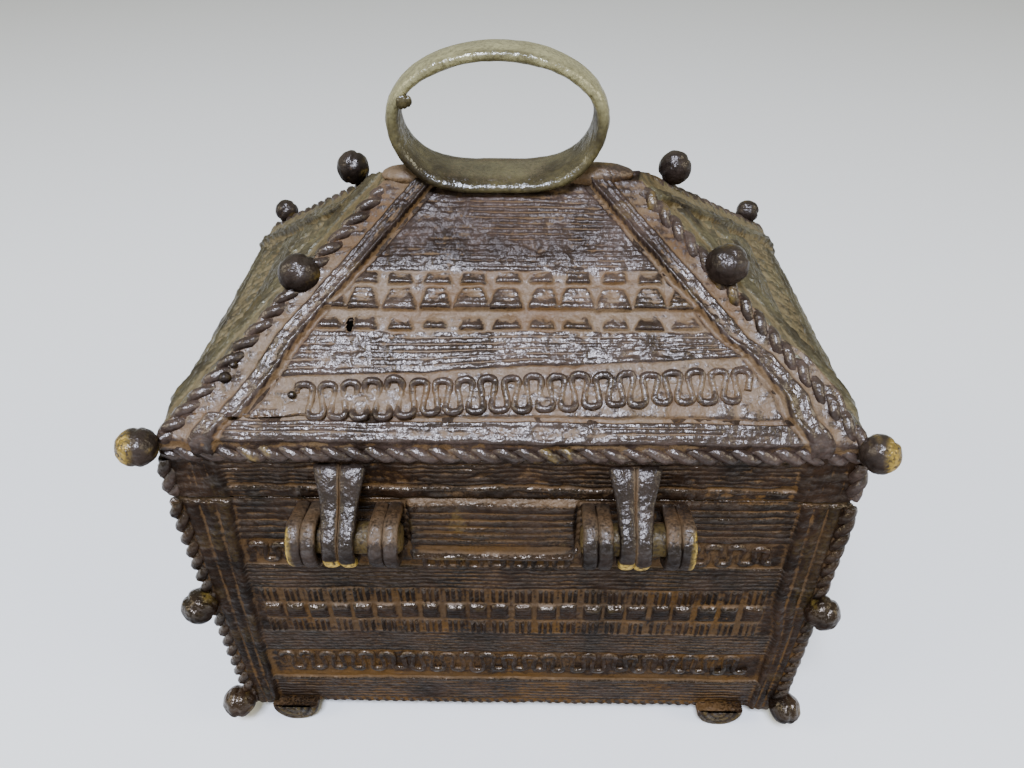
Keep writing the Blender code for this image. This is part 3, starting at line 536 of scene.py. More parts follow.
def half_and_distance(side_turn):
    """Half a side's length, and its distance from the middle."""
    return (HALF_SHORT, HALF_LONG) if side_turn % 2 else (HALF_LONG, HALF_SHORT)


walls = []
for turns, (side, columns, seed) in enumerate((("front", 330, 11), ("right", 110, 31), ("back", 165, 51),
                                               ("left", 110, 71))):
    walls.append(wall_panel(f"box_wall_{side}", turns, *half_and_distance(turns), columns, seed))

# %% [markdown]
# ### The four sides of the lid
# A lid side is one sheet of wax bent at the eave: a fascia that stands upright, and a roof face that
# leans back to the ridge. One panel follows both. Each roof face gets narrower upwards by as much as it
# leans in, so that its neighbours meet it along the hips, where a raised strip runs beside the rope.

# %% Lid bands and the lid panel
LID_BANDS = (
    (0.0, 3.6, "rough", 0.0, 0.0),
    (3.6, 11.6, "threads", 1.35, 0.34),
    (11.6, 16.6, "under_rope", 0.0, 0.0),
    (16.6, 21.6, "threads", 1.25, 0.4),
    (21.6, 22.8, "groove", 0.0, 0.0),
    (22.8, 33.4, "scroll", 0.0, 0.0),
    (33.4, 41.4, "threads", 1.33, 0.42),
    (41.4, 46.0, "low_blocks", 0.0, 0.0),
    (46.0, 51.8, "mid_blocks", 0.0, 0.0),
    (51.8, 55.4, "high_blocks", 0.0, 0.0),
    (55.4, 74.4, "threads", 1.3, 0.42),
    (74.4, 77.0, "ridge", 0.0, 0.0),
)
BEND = 2.0
ROOF_BLOCK_PITCH = 7.8
HIP_STRIP = 9.8
CASTING_HOLE = (-35.1, 42.7)


def lid_section(up):
    """Distance in from the fascia and height over the rim, for a distance up the bent sheet."""
    share = np.clip((up - FASCIA + BEND) / (2 * BEND), 0.0, 1.0)
    past = np.clip(up - FASCIA - BEND, 0.0, None)
    bend_in = share ** 2 * BEND * math.cos(ROOF_ANGLE)
    bend_up = 2 * share * (1 - share) * BEND + share ** 2 * BEND * (1 + math.sin(ROOF_ANGLE))
    inwards = bend_in + past * math.cos(ROOF_ANGLE)
    height = np.minimum(up, FASCIA - BEND) + bend_up + past * math.sin(ROOF_ANGLE)
    lean = share * ROOF_ANGLE_FROM_UPRIGHT
    return inwards, height, lean


def lid_surface(side_turn, distance):
    """Places and outward directions on a lid side, for points along and up it."""
    def at(along, up):
        inwards, height, lean = lid_section(up)
        local = np.stack([along, -(distance - inwards), RIM + height], -1)
        outward = np.stack([np.zeros_like(along), -np.cos(lean), np.sin(lean)], -1)
        return turned(local, side_turn), turned(outward, side_turn)
    return at


def lid_panel(name, side_turn, half, distance, columns, seed):
    """One side of the lid: fascia and roof face in one."""
    front = side_turn == 0
    heights, thread, label = rows_of(LID_BANDS)
    inwards = lid_section(heights)[0][:, None]
    share = np.linspace(-1, 1, columns)[None, :]
    x = share * (half - inwards)
    y = heights[:, None] * np.ones((1, columns))
    wander = 0.35 * hand(x, y, 19.0, seed) + 0.14 * hand(x, y, 4.5, seed + 1)
    tilt = 0.05 * x * ease(y, 22.8, 25.0) * (1 - ease(y, 33.0, 41.0)) * front
    relief = thread[:, None] * (0.55 + 0.65 * hand(x / 3, y, 3.2, seed + 2))
    rubbed = ease(hand(x, y, 14.0, seed + 9), 0.0, 0.6)
    relief = relief * (1 - 0.6 * rubbed)
    extra = 0.5 * (label == "scroll")[:, None] * np.ones_like(x)
    extra = extra + 0.38 * np.isin(label, ("low_blocks", "mid_blocks", "high_blocks"))[:, None]
    centers = -39.9 + ROOF_BLOCK_PITCH * np.arange(11)
    if not front:
        reach = half - 48.0 * 0.55 - 10.0
        centers = (np.arange(11) - 5) * ROOF_BLOCK_PITCH
        centers = centers[np.abs(centers) < reach + 4.0]
        relief = relief + meander(x, y, 28.0, 3.6, 5.6, 0.9)
    relief = relief + block_row(x, y, centers, 41.5, 45.8, 6.8, 0.62, 0.95, 0.03, seed + 3, lip=0.95)
    relief = relief + block_row(x, y, centers, 46.0, 51.8, 8.6, 0.62, 1.25, 0.07, seed + 4, lip=0.55)
    relief = relief + block_row(x, y, centers, 52.1, 55.5, 6.2, 0.2, 0.9, 0.03, seed + 5, lip=0.7)
    relief = relief - 0.2 * (label == "scroll")[:, None] - 0.7 * (label == "groove")[:, None]
    ledge = ease(y, 0.2, 0.9) * (1 - ease(y, 2.9, 3.5))
    crease = ease(y, 3.2, 3.6) - ease(y, 4.0, 4.6)
    relief = relief + ledge * (0.55 + 0.25 * hand(x, y, 2.4, seed + 10)) - 0.25 * crease
    extra = extra + ledge * (0.35 + 0.3 * hand(x, y, 6.0, seed + 13))
    fascia = 1 - ease(y, 11.0, 15.0)
    cos_lean = math.cos(math.atan(math.cos(ROOF_ANGLE)))
    for sign in (-1.0, 1.0):
        beside = (half - inwards - sign * x) * cos_lean
        flat = ease(HIP_STRIP - beside, 0.0, 0.7)
        ribs = np.sqrt(np.clip(1 - (2 * ((np.clip(beside - 5.4, 0, 4.39) / 1.1) % 1.0) - 1) ** 2, 0, 1))
        raised = 0.35 + 0.8 * ease(beside, 5.2, 5.9) * (0.75 + 0.35 * ribs) + 0.5 * ease(beside, 8.2, 8.9)
        veins = np.sin(2 * math.pi * beside / 1.15 + hand(x, y, 5.0, seed + 14))
        leaf = 0.55 + 0.14 * veins + 0.7 * ease(10.0 - y, 0.0, 10.0)
        raised = raised * (1 - fascia) + leaf * fascia
        undercut = ease(HIP_STRIP + 1.1 - beside, 0.0, 0.4) * (1 - flat)
        relief = relief * (1 - flat) + raised * flat - 0.55 * undercut * (1 - fascia)
        clay_by_rope = 0.42 * (1 - ease(beside, 4.4, 5.6)) * (1 - fascia)
        extra = extra * (1 - flat) + clay_by_rope * flat - 0.3 * flat * fascia
        extra = np.where(undercut > 0.2, np.minimum(extra, 0.3), extra) + 0.25 * undercut * (1 - fascia)
    if front:
        # The casting hole is a shallow dent, painted black as the shade inside a hole.
        hole = ((x - CASTING_HOLE[0]) / 0.85) ** 2 + ((y - CASTING_HOLE[1]) / 1.6) ** 2
        relief = np.where(hole < 1.0, -0.6, relief)
        extra = np.where(hole < 1.15, 2.2, extra)
    lip = np.exp(-((y - 17.3 - 0.3 * hand(x, y, 9.0, seed + 16)) / 0.95) ** 2)
    relief = relief * (1 - 0.7 * lip) + 0.6 * lip
    relief = relief + 0.11 * hand(x, y, 1.0, seed + 6) * (1 - lip) + 0.2 * hand(x, y, 3.2, seed + 7)
    relief = relief + 0.13 * hand(x / 4, y, 0.9, seed + 11) + 0.12 * hand(x, y, 2.0, seed + 12)
    relief[0] = relief[1] = 0.0
    edge = ease(y, 0.0, 2.0) * ease(heights[-1] - y, 0.0, 2.0)
    up = y + wander * edge + tilt
    up[0] = 0.02
    crest = ease(relief, 1.0, 1.7) * (hand(x, y, 5.0, seed + 8) > 0.45)
    fascia_rows = int(np.searchsorted(heights, 14.0))
    # The top rows of the roof keep little gloss: painted shade near the ring and the ridge.
    shade_dimmed_gloss = 1 - 0.8 * ease(y, 54.0, 60.0) * (0.75 + 0.25 * hand(x, y, 9.0, seed + 15))
    finish = side_brass if side_turn % 2 else roof_brass
    return build_panel(name, x, up, relief, lid_surface(side_turn, distance), finish, crest * 0.08, extra,
                       (fascia_rows, box_brass), shade_dimmed_gloss)


lid_sides = []
for turns, (side, columns, seed) in enumerate((("front", 250, 111), ("right", 120, 131), ("back", 170, 151),
                                               ("left", 120, 171))):
    lid_sides.append(lid_panel(f"lid_side_{side}", turns, *half_and_distance(turns), columns, seed))

# %% [markdown]
# ## The plain shells behind the panels
# Behind the relief stand the two castings themselves: an open box with a 3 mm wall and floor, and a
# hollow lid that keeps the same thickness under its slopes. Nothing shows of them from outside, but
# they are what is seen when the lid is opened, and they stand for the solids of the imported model.

# %% Hollow shells
def closed_skin(name, loops, material, hollow_mark):
    """Skin of rectangles, each (half length, half depth, height), closed by a flat face at both ends."""
    bm = bmesh.new()
    rings = []
    for half_x, half_y, z in loops:
        corners = ((-half_x, -half_y), (half_x, -half_y), (half_x, half_y), (-half_x, half_y))
        rings.append([bm.verts.new((x, y, z)) for x, y in corners])
    for low, high in zip(rings, rings[1:]):
        for i in range(4):
            bm.faces.new((low[i], low[(i + 1) % 4], high[(i + 1) % 4], high[i]))
    bm.faces.new(rings[0][::-1])
    bm.faces.new(rings[-1])
    bmesh.ops.recalc_face_normals(bm, faces=bm.faces)
    points = [vert.co[:] for vert in bm.verts]
    faces = [[vert.index for vert in face.verts] for face in bm.faces]
    bm.free()
    return make_piece(name, points, faces, material, {"hollow": [hollow_mark] * len(points)}, smooth=False)


RECESS = 0.6
IN_X, IN_Y = HALF_LONG - WALL, HALF_SHORT - WALL
box_loops = []
for share in np.linspace(0, 1, 9):
    out = WALL_BULGE * math.sin(math.pi * share) - RECESS
    box_loops.append((HALF_LONG + out, HALF_SHORT + out, WALL_FOOT + share * WALL_HEIGHT))
box_loops += [(IN_X, IN_Y, WALL_TOP), (IN_X, IN_Y, WALL_FOOT + WALL)]
box_shell = closed_skin("box_shell", box_loops, inside_brass, 0.42)

RIDGE_IN = HALF_SHORT - 2.0
under = WALL / math.cos(ROOF_ANGLE)
rise_in = RIDGE_IN * math.tan(ROOF_ANGLE)
lid_loops = [
    (HALF_LONG - RIDGE_IN, 2.0, EAVE + rise_in - RECESS),
    (HALF_LONG - RECESS, HALF_SHORT - RECESS, EAVE - RECESS),
    (HALF_LONG - RECESS, HALF_SHORT - RECESS, RIM),
    (IN_X, IN_Y, RIM),
    (IN_X, IN_Y, EAVE + WALL * math.tan(ROOF_ANGLE) - under),
    (HALF_LONG - RIDGE_IN, 2.0, EAVE + rise_in - under),
]
lid_shell = closed_skin("lid_shell", lid_loops, inside_brass, 0.4)
print("shells:", len(box_shell.data.polygons), "and", len(lid_shell.data.polygons), "faces")

# %% [markdown]
# ## Twisted ropes, grown by a node tree
# Two wax threads twisted together edge every corner, the eave and the hips. A Geometry Nodes tree does
# the twisting: it takes plain edges as centre lines, cuts each into short steps, winds two strands
# about it, gives them a round section and roughens them. Each rope gets thin at both ends, where the
# wax was pinched off. One tree serves the box and the lid; only the lines and the sizes differ.

# %% Helpers that every tree needs
def new_tree(name, sizes):
    """A node tree with mesh in and out, and one named number for each size."""
    tree = bpy.data.node_groups.new(name, "GeometryNodeTree")
    tree.interface.new_socket("Geometry", in_out="INPUT", socket_type="NodeSocketGeometry")
    for label, value in sizes.items():
        made = tree.interface.new_socket(label, in_out="INPUT", socket_type="NodeSocketFloat")
        made.default_value = value
    tree.interface.new_socket("Finish", in_out="INPUT", socket_type="NodeSocketMaterial")
    tree.interface.new_socket("Geometry", in_out="OUTPUT", socket_type="NodeSocketGeometry")
    start = tree.nodes.new("NodeGroupInput")
    end = tree.nodes.new("NodeGroupOutput")
    return tree, start.outputs, end.inputs

def roughened(tree, geometry, amount, grain_mm, seed):
    """Push every point along its normal by noise of a fixed seed."""
    add = partial(add_node, tree)
    where = add("GeometryNodeInputPosition")
    sizes = {"Vector": where, "W": seed, "Scale": METRE / grain_mm, "Detail": 2.0}
    push = add("ShaderNodeTexNoise", sizes, out="Fac", noise_dimensions="4D")
    push = add("ShaderNodeMath", push, 0.5, operation="SUBTRACT")
    push = add("ShaderNodeMath", push, amount, operation="MULTIPLY")
    offset = add("ShaderNodeVectorMath", {0: add("GeometryNodeInputNormal"), 3: push}, operation="SCALE")
    return add("GeometryNodeSetPosition", {"Geometry": geometry, "Offset": offset})


def finish_tree(tree, geometry, finish, end):
    """Make the tree's instances real, give them their finish and lead them out."""
    solid = add_node(tree, "GeometryNodeRealizeInstances", geometry)
    solid = add_node(tree, "GeometryNodeSetMaterial", {"Geometry": solid, "Material": finish})
    tree.links.new(solid, end[0])


# %% Rope: its centre line and its ends
rope_tree, start, end = new_tree("twisted_rope", {
    "Strand offset": 0.00095, "Strand radius": 0.0013, "Pitch": 0.0092, "Roughness": 0.0005, "Seed": 1.0})
add = partial(add_node, rope_tree)
lines = add("GeometryNodeMeshToCurve", {"Mesh": start["Geometry"]})
steps = add("GeometryNodeResampleCurve", {"Curve": lines, "Length": 0.00062}, mode="LENGTH")

# Two directions at right angles to the line and to each other.
tangent = add("GeometryNodeInputTangent")
side_a = add("ShaderNodeVectorMath", tangent, (0.31, 0.52, 0.8), operation="CROSS_PRODUCT")
side_a = add("ShaderNodeVectorMath", side_a, operation="NORMALIZE")
side_b = add("ShaderNodeVectorMath", tangent, side_a, operation="CROSS_PRODUCT")

# The rope thins to a quarter over its last two millimetres, as pinched wax does.
length = add("GeometryNodeSplineParameter", out="Length")
whole = add("GeometryNodeSplineLength", out="Length")
to_end = add("ShaderNodeMath", whole, length, operation="SUBTRACT")
to_end = add("ShaderNodeMath", length, to_end, operation="MINIMUM")
taper = add("ShaderNodeMath", to_end, 0.0026, operation="DIVIDE")
taper = add("ShaderNodeMath", taper, 0.25, operation="ADD")
taper = add("ShaderNodeMath", taper, 1.0, operation="MINIMUM")
reach = add("ShaderNodeMath", start["Strand offset"], taper, operation="MULTIPLY")

# %% Rope: its two strands
# Each strand goes once round the line in one pitch, half a turn after the other.
turn = add("ShaderNodeMath", length, start["Pitch"], operation="DIVIDE")
turn = add("ShaderNodeMath", turn, 2 * math.pi, operation="MULTIPLY")
section = add("GeometryNodeCurvePrimitiveCircle", {"Resolution": 9, "Radius": start["Strand radius"]})
strands = []
for phase in (0.0, math.pi):
    angle = add("ShaderNodeMath", turn, phase, operation="ADD")
    parts = []
    for wave, side in (("COSINE", side_a), ("SINE", side_b)):
        share = add("ShaderNodeMath", angle, operation=wave)
        share = add("ShaderNodeMath", share, reach, operation="MULTIPLY")
        parts.append(add("ShaderNodeVectorMath", {0: side, 3: share}, operation="SCALE"))
    offset = add("ShaderNodeVectorMath", *parts, operation="ADD")
    wound = add("GeometryNodeSetPosition", {"Geometry": steps, "Offset": offset})
    thinned = add("GeometryNodeSetCurveRadius", {"Curve": wound, "Radius": taper})
    skin = {"Curve": thinned, "Profile Curve": section, "Fill Caps": True}
    strands.append(add("GeometryNodeCurveToMesh", skin))
both = add("GeometryNodeJoinGeometry", strands[0])
rope_tree.links.new(strands[1], both.node.inputs[0])
rope = roughened(rope_tree, both, start["Roughness"], 1.6, start["Seed"])
finish_tree(rope_tree, rope, start["Finish"], end)
print("rope tree:", len(rope_tree.nodes), "nodes")


# %% Growing a mesh from a tree
def grow(name, segments, tree, sizes, finish):
    """Run a tree over line segments, each a pair of points in millimetres, and keep the finished mesh."""
    base = bpy.data.meshes.new(name + "_lines")
    points = [point for segment in segments for point in segment]
    edges = [(2 * i, 2 * i + 1) for i in range(len(segments))]
    base.from_pydata(place(points).tolist(), edges, [])
    carrier = bpy.data.objects.new(name, base)
    bpy.context.scene.collection.objects.link(carrier)
    modifier = carrier.modifiers.new("grow", "NODES")
    modifier.node_group = tree
    known = {item.name: item.identifier for item in tree.interface.items_tree if item.in_out == "INPUT"}
    for label, value in sizes.items():
        modifier[known[label]] = value
    modifier[known["Finish"]] = finish
    evaluated = carrier.evaluated_get(bpy.context.evaluated_depsgraph_get())
    mesh = bpy.data.meshes.new_from_object(evaluated)
    carrier.modifiers.clear()
    carrier.data = mesh
    mesh.name = name
    mesh.polygons.foreach_set("use_smooth", [True] * len(mesh.polygons))
    return carrier


# %% Marks on a grown mesh
def mark_piece(piece, label, values):
    """Give every point of a piece one number under a name."""
    layer = piece.data.attributes.get(label) or piece.data.attributes.new(label, "FLOAT", "POINT")
    layer.data.foreach_set("value", np.asarray(values, np.float32))


def mark_polish_and_shade(piece):
    """Mark what faces up as polished and keep undersides dull as painted shade, times a panel's own mark."""
    normals = np.empty(3 * len(piece.data.vertices))
    piece.data.vertex_normals.foreach_get("vector", normals)
    polish_and_shade = ease(normals.reshape(-1, 3)[:, 2], 0.0, 0.6)
    if "polish_and_shade" in piece.data.attributes:
        shade_dimmed_gloss = np.empty(len(polish_and_shade))
        piece.data.attributes["polish_and_shade"].data.foreach_get("value", shade_dimmed_gloss)
        polish_and_shade = polish_and_shade * shade_dimmed_gloss
    mark_piece(piece, "polish_and_shade", polish_and_shade)


def points_of(piece):
    """The points of a piece in millimetres about the box's middle."""
    flat = np.empty(3 * len(piece.data.vertices))
    piece.data.vertices.foreach_get("co", flat)
    return flat.reshape(-1, 3) * METRE - (0.0, MIDDLE_Y, 0.0)


def mark_rope(piece, segments, radius):
    """Clay lies between the strands; the outermost crests are a little worn."""
    points = points_of(piece)
    nearest = np.full(len(points), 1e9)
    for first, last in segments:
        first, last = np.array(first), np.array(last)
        along = (last - first) / np.linalg.norm(last - first)
        share = np.clip((points - first) @ along, 0, np.linalg.norm(last - first))
        nearest = np.minimum(nearest, np.linalg.norm(points - first - share[:, None] * along, axis=1))
    mark_piece(piece, "hollow", np.clip(1.15 - 1.15 * nearest / radius, 0.0, 1.0))
    rub = hand(points[:, 0], points[:, 2], 9.0, 5) > 0.55
    mark_piece(piece, "worn", ease(nearest, 0.9 * radius, 1.05 * radius) * rub * 0.25)


# %% Ropes of the box and the lid
def corner_of(sign_x, sign_y, z, out=0.7):
    """A point at one of the four corners, set out from it."""
    return (sign_x * (HALF_LONG + out), sign_y * (HALF_SHORT + out), z)


CORNERS = ((-1, -1), (1, -1), (1, 1), (-1, 1))
box_lines = [(corner_of(x, y, WALL_FOOT + 1.2), corner_of(x, y, WALL_TOP - 0.9)) for x, y in CORNERS]
box_ropes = grow("box_ropes", box_lines, rope_tree, {"Seed": 3.0}, box_brass)
mark_rope(box_ropes, box_lines, 2.3)

EAVE_ROPE_Z = EAVE - 4.8
HIP_LENGTH = math.hypot(HALF_SHORT, HALF_SHORT, ROOF_RISE)
lid_lines = []
for i, (x, y) in enumerate(CORNERS):
    following = CORNERS[(i + 1) % 4]
    lid_lines.append((corner_of(x, y, EAVE_ROPE_Z, -0.5), corner_of(*following, EAVE_ROPE_Z, -0.5)))
for x, y in CORNERS:
    low = np.array((x * (HALF_LONG - 1.1), y * HALF_SHORT, EAVE - 0.8))
    high = np.array((x * (HALF_LONG - HALF_SHORT - 1.1), 0.0, EAVE + ROOF_RISE - 0.8))
    lid_lines.append((tuple(low), tuple(high - (high - low) * 6.0 / HIP_LENGTH)))
for x, y in CORNERS:
    lid_lines.append((corner_of(x, y, EAVE - 6.5, 0.0), corner_of(x, y, RIM + 1.8, 0.5)))
lid_sizes = {"Seed": 8.0, "Roughness": 0.0008, "Strand offset": 0.0009, "Strand radius": 0.0013}
lid_ropes = grow("lid_ropes", lid_lines, rope_tree, lid_sizes, roof_brass)
mark_rope(lid_ropes, lid_lines, 2.15)
print("rope points:", len(box_ropes.data.vertices), "and", len(lid_ropes.data.vertices))

# %% [markdown]
# ## The bent wires
# A single thread, bent to and fro in round loops, runs along three bands of the front and over its
# plate. The tree that grows it is close to the rope's: it shifts the steps of a straight line instead
# of winding them. The loops lean back over themselves a little, as a wire does that is pushed round a
# finger nail.

# %% Bent wire: its steps and its loops
scroll_tree, start, end = new_tree("bent_wire", {
    "Loop pitch": 0.0058, "Swing": 0.0035, "Lean back": 0.0011, "Wire radius": 0.00085, "Roughness": 0.0005,
    "Sink": 0.0006, "Seed": 1.0, "Up Y": 0.0, "Up Z": 1.0})
add = partial(add_node, scroll_tree)
lines = add("GeometryNodeMeshToCurve", {"Mesh": start["Geometry"]})
steps = add("GeometryNodeResampleCurve", {"Curve": lines, "Length": 0.00016}, mode="LENGTH")
length = add("GeometryNodeSplineParameter", out="Length")
where = add("GeometryNodeInputPosition")
sizes = {"Vector": where, "W": start["Seed"], "Scale": METRE / 9.0, "Detail": 1.0}
uneven = add("ShaderNodeTexNoise", sizes, out="Fac", noise_dimensions="4D")
uneven = add("ShaderNodeMath", uneven, 0.5, operation="SUBTRACT")

# One loop for each pitch, some early and some late.
late = add("ShaderNodeMath", uneven, 2.6, operation="MULTIPLY")
phase = add("ShaderNodeMath", length, start["Loop pitch"], operation="DIVIDE")
phase = add("ShaderNodeMath", phase, 2 * math.pi, operation="MULTIPLY")
phase = add("ShaderNodeMath", phase, late, operation="ADD")

# The swing to and fro: a sine whose tops are flattened a little, taller in some places than in others.
taller = add("ShaderNodeMath", uneven, 0.9, operation="MULTIPLY")
taller = add("ShaderNodeMath", taller, 1.0, operation="ADD")
swing = add("ShaderNodeMath", phase, operation="SINE")
swing = add("ShaderNodeMath", swing, 1.1, operation="MULTIPLY")
swing = add("ShaderNodeMath", swing, operation="TANH")
swing = add("ShaderNodeMath", swing, 1.25, operation="MULTIPLY")
swing = add("ShaderNodeMath", swing, start["Swing"], operation="MULTIPLY")
swing = add("ShaderNodeMath", swing, taller, operation="MULTIPLY")

# The loops lean back over themselves, twice in each pitch.
lean = add("ShaderNodeMath", phase, 2.0, operation="MULTIPLY")
lean = add("ShaderNodeMath", lean, operation="SINE")
lean = add("ShaderNodeMath", lean, -1.0, operation="MULTIPLY")
lean = add("ShaderNodeMath", lean, start["Lean back"], operation="MULTIPLY")

# %% Bent wire: its depth and its skin
# Between its turns the wire is pressed into the face.
deep = add("ShaderNodeMath", uneven, 0.0014, operation="MULTIPLY")
deep = add("ShaderNodeMath", start["Sink"], deep, operation="ADD")
sunk = add("ShaderNodeMath", swing, start["Swing"], operation="DIVIDE")
sunk = add("ShaderNodeMath", sunk, sunk, operation="MULTIPLY")
sunk = add("ShaderNodeMath", 1.0, sunk, operation="SUBTRACT")
sunk = add("ShaderNodeMath", sunk, deep, operation="MULTIPLY")

# Up Y and Up Z say which way is up along the face, and so which way is into it.
climb_y = add("ShaderNodeMath", swing, start["Up Y"], operation="MULTIPLY")
climb_z = add("ShaderNodeMath", swing, start["Up Z"], operation="MULTIPLY")
into_y = add("ShaderNodeMath", sunk, start["Up Z"], operation="MULTIPLY")
into_z = add("ShaderNodeMath", sunk, start["Up Y"], operation="MULTIPLY")
move_y = add("ShaderNodeMath", climb_y, into_y, operation="ADD")
move_z = add("ShaderNodeMath", climb_z, into_z, operation="SUBTRACT")
offset = add("ShaderNodeCombineXYZ", lean, move_y, move_z)
bent = add("GeometryNodeSetPosition", {"Geometry": steps, "Offset": offset})
bent = add("GeometryNodeResampleCurve", {"Curve": bent, "Length": 0.0004}, mode="LENGTH")
section = add("GeometryNodeCurvePrimitiveCircle", {"Resolution": 8, "Radius": start["Wire radius"]})
wire = add("GeometryNodeCurveToMesh", {"Curve": bent, "Profile Curve": section, "Fill Caps": True})
wire = roughened(scroll_tree, wire, start["Roughness"], 1.4, start["Seed"])
finish_tree(scroll_tree, wire, start["Finish"], end)
print("scroll tree:", len(scroll_tree.nodes), "nodes")


# %% Bent wires on the front
def on_wall(x, height):
    """A point on the bulging front wall."""
    out = HALF_SHORT + WALL_BULGE * math.sin(math.pi * height / WALL_HEIGHT)
    return (x, -out + 0.15, WALL_FOOT + height)


def on_roof(x, slope, lift=0.0):
    """A point on the front roof face, slope millimetres up from the eave."""
    y = -HALF_SHORT + slope * math.cos(ROOF_ANGLE) - lift * math.sin(ROOF_ANGLE)
    return (x, y, EAVE + slope * math.sin(ROOF_ANGLE) + lift * math.cos(ROOF_ANGLE))


def join_pieces(name, pieces):
    """Put several meshes into one."""
    with bpy.context.temp_override(active_object=pieces[0], selected_editable_objects=pieces):
        bpy.ops.object.join()
    pieces[0].name = name
    return pieces[0]


def mark_wire(piece, wall_or_roof_out, worn_share):
    """Clay rises against the wire's foot; its crest is darkest and smoothest."""
    points = points_of(piece)
    out = wall_or_roof_out(points)
    rub = hand(points[:, 0], points[:, 2], 5.0, 8) > 0.3
    mark_piece(piece, "hollow", np.clip(0.75 - out * 0.8, 0.0, 1.0))
    mark_piece(piece, "worn", ease(out, 0.7, 1.0) * worn_share * rub)


def wall_out(points):
    """How far points stand out from the front wall."""
    height = np.clip(points[:, 2] - WALL_FOOT, 0, WALL_HEIGHT)
    return -points[:, 1] - HALF_SHORT - WALL_BULGE * np.sin(math.pi * height / WALL_HEIGHT)


def roof_out(points):
    """How far points stand out from the front roof face."""
    return (points[:, 2] - EAVE) * math.cos(ROOF_ANGLE) - (points[:, 1] + HALF_SHORT) * math.sin(ROOF_ANGLE)


low_lines = [(on_wall(-63.0, LOW_SCROLL), on_wall(63.0, LOW_SCROLL))]
high_lines = [(on_wall(first, height), on_wall(last, height)) for first, last, height in (
    (-61.5, -48.6, HIGH_SCROLL), (41.5, 61.5, HIGH_SCROLL), (-23.0, 15.0, PLATE_SCROLL))]
low_sizes = {"Swing": 0.0036, "Loop pitch": 0.0055, "Lean back": 0.0008, "Sink": 0.0002, "Seed": 2.0}
high_sizes = {"Swing": 0.003, "Loop pitch": 0.0052, "Lean back": 0.0008, "Sink": 0.0002, "Seed": 6.0}
low_scroll = grow("low_scroll", low_lines, scroll_tree, low_sizes, box_brass)
high_scroll = grow("high_scroll", high_lines, scroll_tree, high_sizes, box_brass)
box_scrolls = join_pieces("box_scrolls", [low_scroll, high_scroll])
mark_wire(box_scrolls, wall_out, 0.1)
roof_lines = [(on_roof(-45.0, 7.6), on_roof(51.0, 11.9))]
roof_sizes = {"Swing": 0.0034, "Loop pitch": 0.0049, "Lean back": 0.0009, "Seed": 4.0,
              "Up Y": math.cos(ROOF_ANGLE), "Up Z": math.sin(ROOF_ANGLE)}
lid_scrolls = grow("lid_scrolls", roof_lines, scroll_tree, roof_sizes, roof_brass)
mark_wire(lid_scrolls, roof_out, 0.0)
print("bent wires:", len(box_scrolls.data.vertices), "and", len(lid_scrolls.data.vertices), "points")

# %% [markdown]
# ## Balls and feet
# Every ball is a short thread of wax rolled up, so each has a dent or a seam where its end was tucked
# in. A sphere is pushed in along a seam and roughened, each with its own seed. Two low lumps lie on the
# ridge where the ring runs into the roof, and three beads of spilt metal on its left side. The feet are
# thicker coils, cut flat above and below.

# %% Lumps of rolled wax
def lump_mesh(center, scale, seam_turn, seam_depth, seed, segments=40, rings=24, rub_toward=None, clay=0.0):
    """Points, faces and marks of one rolled ball. The seam is a groove round it, turned by seam_turn."""
    polar = np.linspace(0, math.pi, rings + 1)[1:-1]
    round_turn = np.arange(segments) * 2 * math.pi / segments
    unit = [(0, 0, 1.0)]
    for angle in polar:
        for turn_at in round_turn:
            reach = math.sin(angle)
            unit.append((reach * math.cos(turn_at), reach * math.sin(turn_at), math.cos(angle)))
    unit.append((0, 0, -1.0))
    unit = np.array(unit)
    axis = np.array([math.cos(seam_turn), math.sin(seam_turn) * 0.6, math.sin(seam_turn) * 0.8])
    axis /= np.linalg.norm(axis)
    lift = unit @ axis
    seam = np.exp(-((lift - 0.25 * unit[:, 2]) / 0.13) ** 2)
    rough = 0.028 * hand(unit[:, 0] * 9 + seed, unit[:, 1] * 9 + unit[:, 2] * 7, 3.0, seed)
    rough += 0.01 * hand(unit[:, 0] * 9 + seed, unit[:, 1] * 9 - unit[:, 2] * 8, 1.0, seed + 1)
    radius = 1.0 + rough - seam_depth * seam
    points = unit * radius[:, None] * np.asarray(scale)
    points = points + np.asarray(center)
    faces = [[0, 1 + i, 1 + (i + 1) % segments] for i in range(segments)]
    for r in range(rings - 2):
        base = 1 + r * segments
        for i in range(segments):
            j = (i + 1) % segments
            faces.append([base + i, base + segments + i, base + segments + j, base + j])
    last = len(points) - 1
    base = 1 + (rings - 2) * segments
    faces += [[base + i, last, base + (i + 1) % segments] for i in range(segments)]
    hollow = np.clip(0.05 + clay + seam * 0.3 - unit[:, 2] * 0.05, 0, 1)
    worn = ease(-seam + 0.3 * hand(unit[:, 0] * 9, unit[:, 2] * 9, 2.4, seed + 2), -0.1, 0.3)
    worn = worn * ease(lift, 0.55, 0.95) * 0.4
    if rub_toward:
        faced = unit @ (np.array(rub_toward) / np.linalg.norm(rub_toward))
        worn = np.maximum(worn, ease(faced, 0.3, 0.75) * (1 - 0.7 * ease(faced, 0.85, 0.98)) * 0.75)
    return points, faces, hollow, worn


def lumps(name, items, material):
    """Many lumps in one piece."""
    points, faces, hollow, worn, base = [], [], [], [], 0
    for item in items:
        p, f, h, w = lump_mesh(**item)
        points.append(p)
        faces += [[k + base for k in face] for face in f]
        hollow.append(h)
        worn.append(w)
        base += len(p)
    marks = {"hollow": np.concatenate(hollow), "worn": np.concatenate(worn)}
    return make_piece(name, np.concatenate(points), faces, material, marks)


